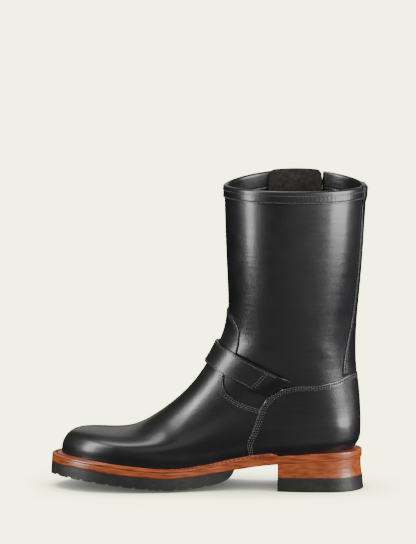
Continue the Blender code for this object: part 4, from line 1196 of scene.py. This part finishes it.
def welt_band(phi):
    """Inner and outer line of the welt: the upper's foot and the sole's edge."""
    clear = max(OVERLAY, COUNTER_THICKNESS) + GAP * 0.5
    inner = skin(phi, 1.0, clear)[:, :2]
    inner = inner * 0.5 + skin(phi, 1.6, clear)[:, :2] * 0.5
    u = (1 - np.cos(phi)) / 2
    x = SEAT_BACK - SOLE_LENGTH * u
    y = outline_centre(x) - np.sign(np.sin(phi)) * outline_half(x)
    return inner, np.stack([x, y], axis=1)


WELT_GROOVE = 0.56
WELT_GROOVE_HEIGHT = 0.0021
WELT_PROFILE = (
    # share across, height
    (-0.10, 0.0002),
    (-0.10, 0.0034),
    (0.00, 0.0037),
    (0.12, 0.0037),
    (0.22, 0.0035),
    (0.32, 0.0032),
    (0.42, 0.0027),
    (0.50, 0.0022),
    (WELT_GROOVE, WELT_GROOVE_HEIGHT),
    (0.62, 0.0023),
    (0.72, 0.0024),
    (0.84, 0.0022),
    (0.93, 0.0019),
    (0.98, 0.0015),
    (1.00, 0.0009),
    (0.99, 0.0004),
    (0.96, 0.0001),
)


def make_welt(material):
    """Welt with a groove for its stitches; gives back the stitch line."""
    start = math.acos(1 - 2 * (HEEL_LENGTH - 0.001) / SOLE_LENGTH)
    phi = np.linspace(start, 2 * math.pi - start, 520)
    inner, outer = welt_band(phi)
    rows = []
    ends = smooth_step(0, 0.05, phi - start) * smooth_step(0, 0.05, 2 * math.pi - start - phi)
    for share, height in WELT_PROFILE:
        plan = inner + (outer - inner) * share
        rows.append(sole_point(plan[:, 0], plan[:, 1], -height * (0.45 + 0.55 * ends)))
    rows.append(rows[0])
    grid = np.stack(rows)
    index = np.arange(grid.shape[0] * grid.shape[1]).reshape(grid.shape[:2])
    faces = quads(index).tolist() + [index[:-1, 0].tolist(), index[:-1, -1].tolist()]
    item = make_object("welt_strip", grid.reshape(-1, 3), faces, material, weld=WELD, sharp=60)
    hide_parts("welt")
    plan = inner + (outer - inner) * WELT_GROOVE
    line = sole_point(plan[:, 0], plan[:, 1], -WELT_GROOVE_HEIGHT * np.ones(len(phi)))
    up = np.zeros_like(line)
    up[:, 2] = 1.0
    up[:, :2] = (outer - inner) * 60
    return [(line[6:-6], up[6:-6])]


def rubber_depth(x):
    """Depth of the tread below the midsole's top; it thins out to the rear end."""
    rear = SEAT_BACK - SOLE_LENGTH + RUBBER_LENGTH
    t = np.clip((rear - x) / RUBBER_TAPER, 0, 1)
    thickness = RUBBER_THICKNESS * (0.06 + 0.94 * np.sqrt(1 - (1 - t) ** 2))
    return MIDSOLE_THICKNESS + waist_extra(x) + GAP + thickness


def is_lug(row, side_column, centre_column, last_row):
    """Edge lugs all round, a channel inside them, and crosses down the middle."""
    if row <= 2 or row >= last_row - 3:
        return True
    if side_column == 1:
        return False
    if side_column == 0:
        return row % 2 == 0
    phase = (row - 4) % 6
    if centre_column == 0:
        return phase != 5
    return phase in (1, 2, 3)


def tread_rows():
    """Places of the tread's rows from the toe back, and the lug or groove that each row lies in."""
    x_tip = SEAT_BACK - SOLE_LENGTH
    count = int(round((RUBBER_LENGTH - RUBBER_TAPER) / LUG_PITCH))
    first = x_tip + LUG_PITCH * 0.8
    edges = [x_tip, x_tip + LUG_GROOVE * 0.4, x_tip + LUG_GROOVE, first - LUG_GROOVE]
    for index in range(count):
        start = first + index * LUG_PITCH
        edges += [start, start + LUG_PITCH - LUG_GROOVE]
    edges += list(np.linspace(edges[-1], x_tip + RUBBER_LENGTH, 5)[1:])
    places, owner = [], []
    for index in range(len(edges) - 1):
        parts = 8 if index == 0 else 3
        share = np.arange(parts) / parts
        if index == 0:
            share = share ** 2
        places += list(edges[index] + (edges[index + 1] - edges[index]) * share)
        owner += [index] * parts
    places.append(edges[-1])
    return np.array(places), owner, len(edges) - 2


def tread_columns(places):
    """Sideways places of the edge lugs, channels and middle lugs at each row."""
    bands = []
    for width in outline_half(places):
        edge = min(EDGE_LUG_WIDTH, width * 0.55)
        channel = min(LUG_GROOVE, width * 0.12)
        cross = min(LUG_PITCH * 0.55, (width - edge - channel) * 0.45)
        bands.append([-width, -width + edge, -width + edge + channel, -cross,
                      cross, width - edge - channel, width - edge, width])
    return np.array(bands)


def make_half_sole(material):
    places, owner, last_row = tread_rows()
    bands = tread_columns(places)
    x = np.repeat(places[:, None], bands.shape[1], axis=1)
    y = outline_centre(x) + bands
    under = MIDSOLE_THICKNESS + waist_extra(x)
    cut = LUG_DEPTH * np.array([0.5, 1, 1, 1, 1, 1, 1, 0.5])
    grids = {"top": sole_point(x, y, under), "full": sole_point(x, y, rubber_depth(x)),
             "groove": sole_point(x, y, np.maximum(rubber_depth(x) - cut, under + 2 * GAP))}
    grids["full"][..., 2] = np.maximum(grids["full"][..., 2], 0)
    points, faces, seen = [], [], {}

    def vertex(kind, r, c):
        if (kind, r, c) not in seen:
            seen[kind, r, c] = len(points)
            points.append(grids[kind][r, c])
        return seen[kind, r, c]

    def cell_kind(r, c):
        return "full" if is_lug(owner[r], min(c, 6 - c), abs(c - 3), last_row) else "groove"

    def add_step(kind, other, start, stop):
        if kind == other:
            return
        if {kind, other} == {"full", "top"}:
            add_step(kind, "groove", start, stop)
            add_step("groove", other, start, stop)
            return
        faces.append([vertex(kind, *start), vertex(kind, *stop), vertex(other, *stop), vertex(other, *start)])

    rows, columns = x.shape
    for r in range(rows - 1):
        for c in range(columns - 1):
            kind = cell_kind(r, c)
            corners = ((r, c), (r, c + 1), (r + 1, c + 1), (r + 1, c))
            faces.append([vertex("top", *corner) for corner in corners])
            faces.append([vertex(kind, *corner) for corner in reversed(corners)])
            for start, stop, other in (((r, c), (r, c + 1), (r - 1, c)), ((r, c), (r + 1, c), (r, c - 1))):
                inside = 0 <= other[0] < rows - 1 and 0 <= other[1] < columns - 1
                add_step(kind, cell_kind(*other) if inside else "top", start, stop)
            if r == rows - 2:
                add_step(kind, "top", (r + 1, c), (r + 1, c + 1))
            if c == columns - 2:
                add_step(kind, "top", (r, c + 1), (r + 1, c + 1))
    item = make_object("half_sole_rubber", np.array(points), faces, material, weld=WELD, sharp=35)
    soften(item, 0.0005)
    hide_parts("half_sole")


def soften(item, width):
    bevel = item.modifiers.new("edge", "BEVEL")
    bevel.width = width
    bevel.segments = 2
    bevel.limit_method = "ANGLE"
    bevel.angle_limit = math.radians(40)
    bevel.harden_normals = False


def heel_outline(flare):
    """Closed outline of the heel with a straight front."""
    steps = np.linspace(0, 1, 120)
    x = BREAST_X + HEEL_LENGTH * np.sin(math.pi / 2 * steps)
    half = outline_half(x)
    centre = outline_centre(x)
    middle = (BREAST_X + SEAT_BACK) / 2
    x_wide = np.where(x > middle, middle + (x - middle) * (1 + flare / (HEEL_LENGTH / 2)), x)
    half = half * (1 + flare / HEEL_ROUND)
    medial = np.stack([x_wide, centre - half], axis=1)
    lateral = np.stack([x_wide, centre + half], axis=1)[::-1]
    front_y = np.linspace(lateral[-1][1], medial[0][1], 30)[1:-1]
    front = np.stack([np.full(len(front_y), BREAST_X), front_y], axis=1)
    return even_loop(np.concatenate([medial[:-1], lateral, front]), 420)


def heel_point(plan, amount, z):
    """Points moved away from the middle of the heel's front by an amount, at their heights."""
    away = plan - np.array([BREAST_X, 0.0])
    size = np.maximum(np.linalg.norm(away, axis=1, keepdims=True), 1e-6)
    moved = plan + away / size * amount[:, None]
    return np.stack([moved[:, 0], moved[:, 1], z], axis=1)


def make_lifts(leather):
    """Leather lifts up to the midsole, pulled in a little at half their height."""
    loop, out = heel_outline(0.0)
    seat = last_bottom(loop[:, 0], loop[:, 1]) - MIDSOLE_THICKNESS - waist_extra(loop[:, 0])
    height = (float(seat.min()) - CAP_THICKNESS) / LIFT_COUNT
    for index in range(LIFT_COUNT):
        low = CAP_THICKNESS + index * height
        high = low + height

        def level(plan, share, low=low, high=high, index=index):
            x, y = plan[:, 0], plan[:, 1]
            top = np.full(len(x), high)
            if index == LIFT_COUNT - 1:
                top = last_bottom(x, y) - MIDSOLE_THICKNESS - waist_extra(x)
            z = top + (low - top) * share
            climbed = (z - CAP_THICKNESS) / (HEEL_HEIGHT - CAP_THICKNESS)
            pull = LIFT_WAIST * np.sin(math.pi * np.clip(climbed, 0, 1)) ** 0.8
            return heel_point(plan, -pull * smooth_step(BREAST_X, SEAT_BACK, x), z)

        profile = rounded_edge(height, 0.00018, 0.00018)
        slab(f"heel_lift_leather_{index + 1}", loop, out, profile, level, leather, f"heel_lift_{index + 1}")


def make_cap(rubber):
    """Rubber cap, wider at the floor, with two grooves cut across its tread."""
    loop, out = heel_outline(CAP_FLARE * 0.3)

    def level(plan, share):
        spread = CAP_FLARE * 0.8 * share ** 1.5 * smooth_step(BREAST_X, BREAST_X + 0.03, plan[:, 0])
        return heel_point(plan, spread, np.full(len(plan), CAP_THICKNESS * (1 - share)))

    profile = rounded_edge(CAP_THICKNESS, 0.0004, 0.0009)
    cap = slab("heel_cap_rubber", loop, out, profile, level, rubber, "heel_cap")
    for index, place in enumerate(CAP_GROOVE_PLACES):
        bpy.ops.mesh.primitive_cube_add(size=1)
        groove = bpy.context.object
        groove.name = f"heel_groove_{index + 1}"
        groove.scale = (LUG_GROOVE, HEEL_ROUND * 1.2, CAP_GROOVE_DEPTH * 2)
        groove.location = (BREAST_X + HEEL_LENGTH * place, 0, 0)
        trim = cap.modifiers.new(groove.name, "BOOLEAN")
        trim.object = groove
        trim.operation = "DIFFERENCE"
        trim.solver = "EXACT"
        trim.use_hole_tolerant = True
        bpy.context.view_layer.objects.active = cap
        bpy.ops.object.modifier_apply(modifier=trim.name)
        bpy.data.objects.remove(groove)


# Seams

def counter_runs():
    """Three rows along the counter's edge."""
    edge = counter_edge()
    runs = []
    for row in range(3):
        inward = shift_curve(*edge, -(STITCH_ROW + row * STITCH_STEP))
        runs.append(surface_run(*inward, COUNTER_THICKNESS - THREAD_SINK))
    return runs


def vamp_runs():
    """Three rows along the vamp's edge, of which two go on up the tongue."""
    rings = np.linspace(8.95, 13.0, 130)
    runs = []
    for side in (-1, 1):
        curve = smooth_curve(np.pi + side * vamp_reach(rings), rings)
        for row in range(3):
            phi, ring = shift_curve(*curve, side * -(STITCH_ROW + row * STITCH_STEP))
            keep = (curve[1] < 10.6) | (row < 2)
            runs.append(surface_run(phi[keep], ring[keep], OVERLAY - THREAD_SINK))
    return runs


def stay_runs():
    """Two rows down each side of the back stay."""
    rings = np.linspace(11.05, TOP_RING - 0.75, 160)
    runs = []
    for side in (-1, 1):
        for inset in (STITCH_ROW, STITCH_ROW + STITCH_STEP):
            width = stay_half(rings) - inset / (ring_span(rings) / 2 * 1.35)
            runs.append(surface_run(side * width, rings, STAY_THICKNESS))
    return runs


def collar_runs():
    """Two rows round the outside of the collar band and one inside."""
    gap = slit_angle(np.array([TOP_RING - 0.3]))[0]
    around = SLIT_ANGLE + np.linspace(gap + 0.03, 2 * math.pi - gap - 0.03, 500)
    runs = []
    for drop in (0.0022, COLLAR_BAND_HEIGHT - STITCH_ROW):
        runs.append(surface_run(around, np.full(500, TOP_RING - rings_for(drop)), BINDING))
    inside = np.full(500, TOP_RING - rings_for(COLLAR_BAND_INSIDE - STITCH_ROW))
    points, normals = surface_run(around, inside, -WALL - BINDING)
    return runs + [(points, -normals)]


def make_seams(strap_runs, welt_runs, thread, welt_thread):
    runs = strap_runs + counter_runs() + vamp_runs() + stay_runs() + collar_runs()
    seams = stitch_mesh("seam_stitches", runs, THREAD, PITCH, thread)
    welt_seam = stitch_mesh("welt_stitches", welt_runs, THREAD * 1.9, 0.0042, welt_thread, 0.86)
    return seams, welt_seam


# Materials

def shader_of(name, colour, roughness, metallic=0.0):
    material = bpy.data.materials.new(name)
    material.use_nodes = True
    shader = material.node_tree.nodes["Principled BSDF"]
    shader.inputs["Base Color"].default_value = (*colour, 1.0)
    shader.inputs["Roughness"].default_value = roughness
    shader.inputs["Metallic"].default_value = metallic
    return material, material.node_tree, shader


def add_noise(tree, scale, detail, stretch=(1, 1, 1)):
    place = tree.nodes.new("ShaderNodeTexCoord")
    size = tree.nodes.new("ShaderNodeMapping")
    size.inputs["Scale"].default_value = stretch
    noise = tree.nodes.new("ShaderNodeTexNoise")
    noise.inputs["Scale"].default_value = scale
    noise.inputs["Detail"].default_value = detail
    tree.links.new(place.outputs["Object"], size.inputs["Vector"])
    tree.links.new(size.outputs["Vector"], noise.inputs["Vector"])
    return noise.outputs["Fac"]


def add_bump(tree, shader, height, distance, strength, under=None):
    bump = tree.nodes.new("ShaderNodeBump")
    bump.inputs["Strength"].default_value = strength
    bump.inputs["Distance"].default_value = distance
    tree.links.new(height, bump.inputs["Height"])
    if under is not None:
        tree.links.new(under, bump.inputs["Normal"])
    tree.links.new(bump.outputs["Normal"], shader.inputs["Normal"])
    return bump.outputs["Normal"]


def remap(tree, value, low, high, out_low, out_high):
    node = tree.nodes.new("ShaderNodeMapRange")
    node.inputs["From Min"].default_value = low
    node.inputs["From Max"].default_value = high
    node.inputs["To Min"].default_value = out_low
    node.inputs["To Max"].default_value = out_high
    tree.links.new(value, node.inputs["Value"])
    return node.outputs["Result"]


def ramp(tree, value, stops):
    node = tree.nodes.new("ShaderNodeValToRGB")
    while len(node.color_ramp.elements) < len(stops):
        node.color_ramp.elements.new(0.5)
    for element, (place, colour) in zip(node.color_ramp.elements, stops):
        element.position = place
        element.color = (*colour, 1.0)
    tree.links.new(value, node.inputs["Fac"])
    return node.outputs["Color"]


def black_leather():
    """Smooth glossy leather: fine pores, faint mottling and a soft polish."""
    material, tree, shader = shader_of("boot_black_leather", (0.0085, 0.0085, 0.0095), 0.36)
    shader.inputs["Specular IOR Level"].default_value = 0.5
    shader.inputs["Coat Weight"].default_value = 0.3
    shader.inputs["Coat Roughness"].default_value = 0.16
    wrinkles = add_bump(tree, shader, add_noise(tree, 55, 5, (0.6, 0.6, 4.0)), 0.00045, 0.4)
    soft = add_bump(tree, shader, add_noise(tree, 420, 2), 0.00007, 0.6, wrinkles)
    add_bump(tree, shader, add_noise(tree, 22, 3), 0.0003, 0.2, soft)
    tree.links.new(remap(tree, add_noise(tree, 60, 4), 0.3, 0.7, 0.28, 0.38), shader.inputs["Roughness"])
    return material


def suede():
    material, tree, shader = shader_of("suede_side", (0.035, 0.033, 0.028), 0.95)
    shader.inputs["Specular IOR Level"].default_value = 0.25
    nap = add_noise(tree, 900, 5)
    colour = ramp(tree, add_noise(tree, 240, 5), SUEDE_COLOURS)
    tree.links.new(colour, shader.inputs["Base Color"])
    add_bump(tree, shader, nap, 0.0003, 0.7)
    return material


def lining():
    material, tree, shader = shader_of("insole_lining", (0.30, 0.20, 0.13), 0.75)
    colour = ramp(tree, add_noise(tree, 120, 5), LINING_COLOURS)
    tree.links.new(colour, shader.inputs["Base Color"])
    add_bump(tree, shader, add_noise(tree, 700, 4), 0.0002, 0.4)
    return material


def sole_leather(name, streak, stops):
    """Red-brown burnished edge leather; streak stretches its darker layers along it."""
    material, tree, shader = shader_of(name, stops[1][1], 0.36)
    shader.inputs["Coat Weight"].default_value = 0.5
    shader.inputs["Coat Roughness"].default_value = 0.2
    streaks = add_noise(tree, 190, 8, streak)
    tree.links.new(ramp(tree, streaks, stops), shader.inputs["Base Color"])
    add_bump(tree, shader, streaks, 0.00015, 0.25)
    return material


def rubber():
    material, tree, shader = shader_of("sole_rubber", (0.032, 0.032, 0.031), 0.55)
    shader.inputs["Specular IOR Level"].default_value = 0.4
    colour = ramp(tree, add_noise(tree, 150, 5), RUBBER_COLOURS)
    tree.links.new(colour, shader.inputs["Base Color"])
    add_bump(tree, shader, add_noise(tree, 600, 4), 0.0002, 0.3)
    tree.links.new(remap(tree, add_noise(tree, 200, 3), 0.3, 0.7, 0.40, 0.55), shader.inputs["Roughness"])
    return material


def metal():
    material, tree, shader = shader_of("buckle_nickel", (0.58, 0.56, 0.53), 0.22, 1.0)
    tree.links.new(remap(tree, add_noise(tree, 300, 3), 0.3, 0.7, 0.16, 0.30), shader.inputs["Roughness"])
    add_bump(tree, shader, add_noise(tree, 500, 3), 0.00003, 0.3)
    return material


def thread(name, colour, roughness):
    material, tree, shader = shader_of(name, colour, roughness)
    add_bump(tree, shader, add_noise(tree, 2500, 2), 0.0001, 0.5)
    return material


# Stage

def camera_glow(tree, shaded):
    """Emission that is pale for the camera and dim for the light on the boot, less dim in front of it."""
    path = tree.nodes.new("ShaderNodeLightPath")
    pick = tree.nodes.new("ShaderNodeMix")
    pick.data_type = "RGBA"
    colours = [socket for socket in pick.inputs if socket.type == "RGBA"]
    colours[0].default_value = (*[FLOOR_DIM * part for part in FLOOR_TINT], 1.0)
    tree.links.new(path.outputs["Is Camera Ray"], pick.inputs[0])
    if shaded is None:
        colours[1].default_value = (*[FLOOR_GLOW * part for part in FLOOR_TINT], 1.0)
    else:
        place = tree.nodes.new("ShaderNodeTexCoord")
        split = tree.nodes.new("ShaderNodeSeparateXYZ")
        tree.links.new(place.outputs["Object"], split.inputs["Vector"])
        before = remap(tree, split.outputs["Y"], 0.0, -0.30, 0, 1)
        beside = remap(tree, split.outputs["X"], -0.75, 0.35, FLOOR_DIM, FLOOR_FRONT)
        product = tree.nodes.new("ShaderNodeMath")
        product.operation = "MULTIPLY"
        tree.links.new(before, product.inputs[0])
        tree.links.new(beside, product.inputs[1])
        tree.links.new(product.outputs[0], colours[0])
        tree.links.new(shaded, colours[1])
    return [socket for socket in pick.outputs if socket.type == "RGBA"][0]


def make_stage():
    """Wide pale floor with a soft contact shadow; the sky beyond it has the same colour."""
    mesh = bpy.data.meshes.new("floor")
    corners = [(-FLOOR_REACH, -FLOOR_REACH, 0), (FLOOR_REACH, -FLOOR_REACH, 0),
               (FLOOR_REACH, FLOOR_REACH, 0), (-FLOOR_REACH, FLOOR_REACH, 0)]
    mesh.from_pydata(corners, [], [(0, 1, 2, 3)])
    floor = bpy.data.objects.new("floor", mesh)
    bpy.context.scene.collection.objects.link(floor)
    material = bpy.data.materials.new("pale_floor")
    material.use_nodes = True
    tree = material.node_tree
    tree.nodes.clear()
    shade = tree.nodes.new("ShaderNodeAmbientOcclusion")
    shade.samples = 24
    shade.inputs["Distance"].default_value = SHADOW_REACH
    stops = [(place, [part * (FLOOR_GLOW * glow) for part in tint]) for place, glow, tint in SHADOW_STEPS]
    colour = ramp(tree, shade.outputs["AO"], stops)
    emission = tree.nodes.new("ShaderNodeEmission")
    tree.links.new(camera_glow(tree, colour), emission.inputs["Color"])
    output = tree.nodes.new("ShaderNodeOutputMaterial")
    tree.links.new(emission.outputs["Emission"], output.inputs["Surface"])
    mesh.materials.append(material)


def add_light(name, place, target, size, power):
    data = bpy.data.lights.new(name, "AREA")
    data.shape = "RECTANGLE"
    data.size, data.size_y = size
    data.energy = power
    item = bpy.data.objects.new(name, data)
    item.location = place
    item.rotation_euler = (Vector(target) - Vector(place)).to_track_quat("-Z", "Y").to_euler()
    bpy.context.scene.collection.objects.link(item)


def make_lights():
    world = bpy.data.worlds.new("studio")
    world.use_nodes = True
    tree = world.node_tree
    tree.links.new(camera_glow(tree, None), tree.nodes["Background"].inputs["Color"])
    bpy.context.scene.world = world
    for name, place, target, size, power in LIGHTS:
        add_light(name, place, target, size, power)


def make_camera():
    azimuth, elevation = math.radians(CAMERA_AZIMUTH), math.radians(CAMERA_ELEVATION)
    right = Vector((math.cos(azimuth), math.sin(azimuth), 0))
    back = Vector((math.sin(azimuth) * math.cos(elevation), -math.cos(azimuth) * math.cos(elevation),
                   math.sin(elevation)))
    up = back.cross(right)
    aim = right * VIEW_RIGHT + up * VIEW_UP
    data = bpy.data.cameras.new("camera")
    data.sensor_fit = "VERTICAL"
    data.sensor_height = 36
    data.lens = 36 * CAMERA_DISTANCE / VIEW_HEIGHT
    data.clip_end = 50
    camera = bpy.data.objects.new("camera", data)
    camera.location = aim + back * CAMERA_DISTANCE
    camera.rotation_euler = (-back).to_track_quat("-Z", "Y").to_euler()
    bpy.context.scene.collection.objects.link(camera)
    bpy.context.scene.camera = camera


def main():
    leather = black_leather()
    edge = sole_leather("burnished_edge", (0.30, 0.30, 2.4), EDGE_COLOURS)
    stack = sole_leather("burnished_stack", (0.7, 0.7, 1.8), STACK_COLOURS)
    tread = rubber()
    steel = metal()
    stitches = thread("black_thread", (0.050, 0.050, 0.052), 0.5)
    welt_thread = thread("welt_thread", (0.045, 0.022, 0.014), 0.7)
    # Near-black material that paints the shade inside the straps' punched holes
    painted_hole_shade = thread("hole_shade_paint", (0.002, 0.002, 0.002), 0.9)
    make_shaft(leather)
    make_vamp(leather)
    make_counter(leather)
    make_collar_band(leather)
    make_back_stay(leather)
    make_gusset(suede())
    runs = make_straps(leather, steel, painted_hole_shade)
    make_midsole(edge)
    welt_runs = make_welt(edge)
    make_half_sole(tread)
    make_lifts(stack)
    make_cap(tread)
    for item in make_seams(runs, welt_runs, stitches, welt_thread):
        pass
    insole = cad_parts["insole"]
    insole.data.materials.clear()
    insole.data.materials.append(lining())
    make_stage()
    make_lights()
    make_camera()


main()
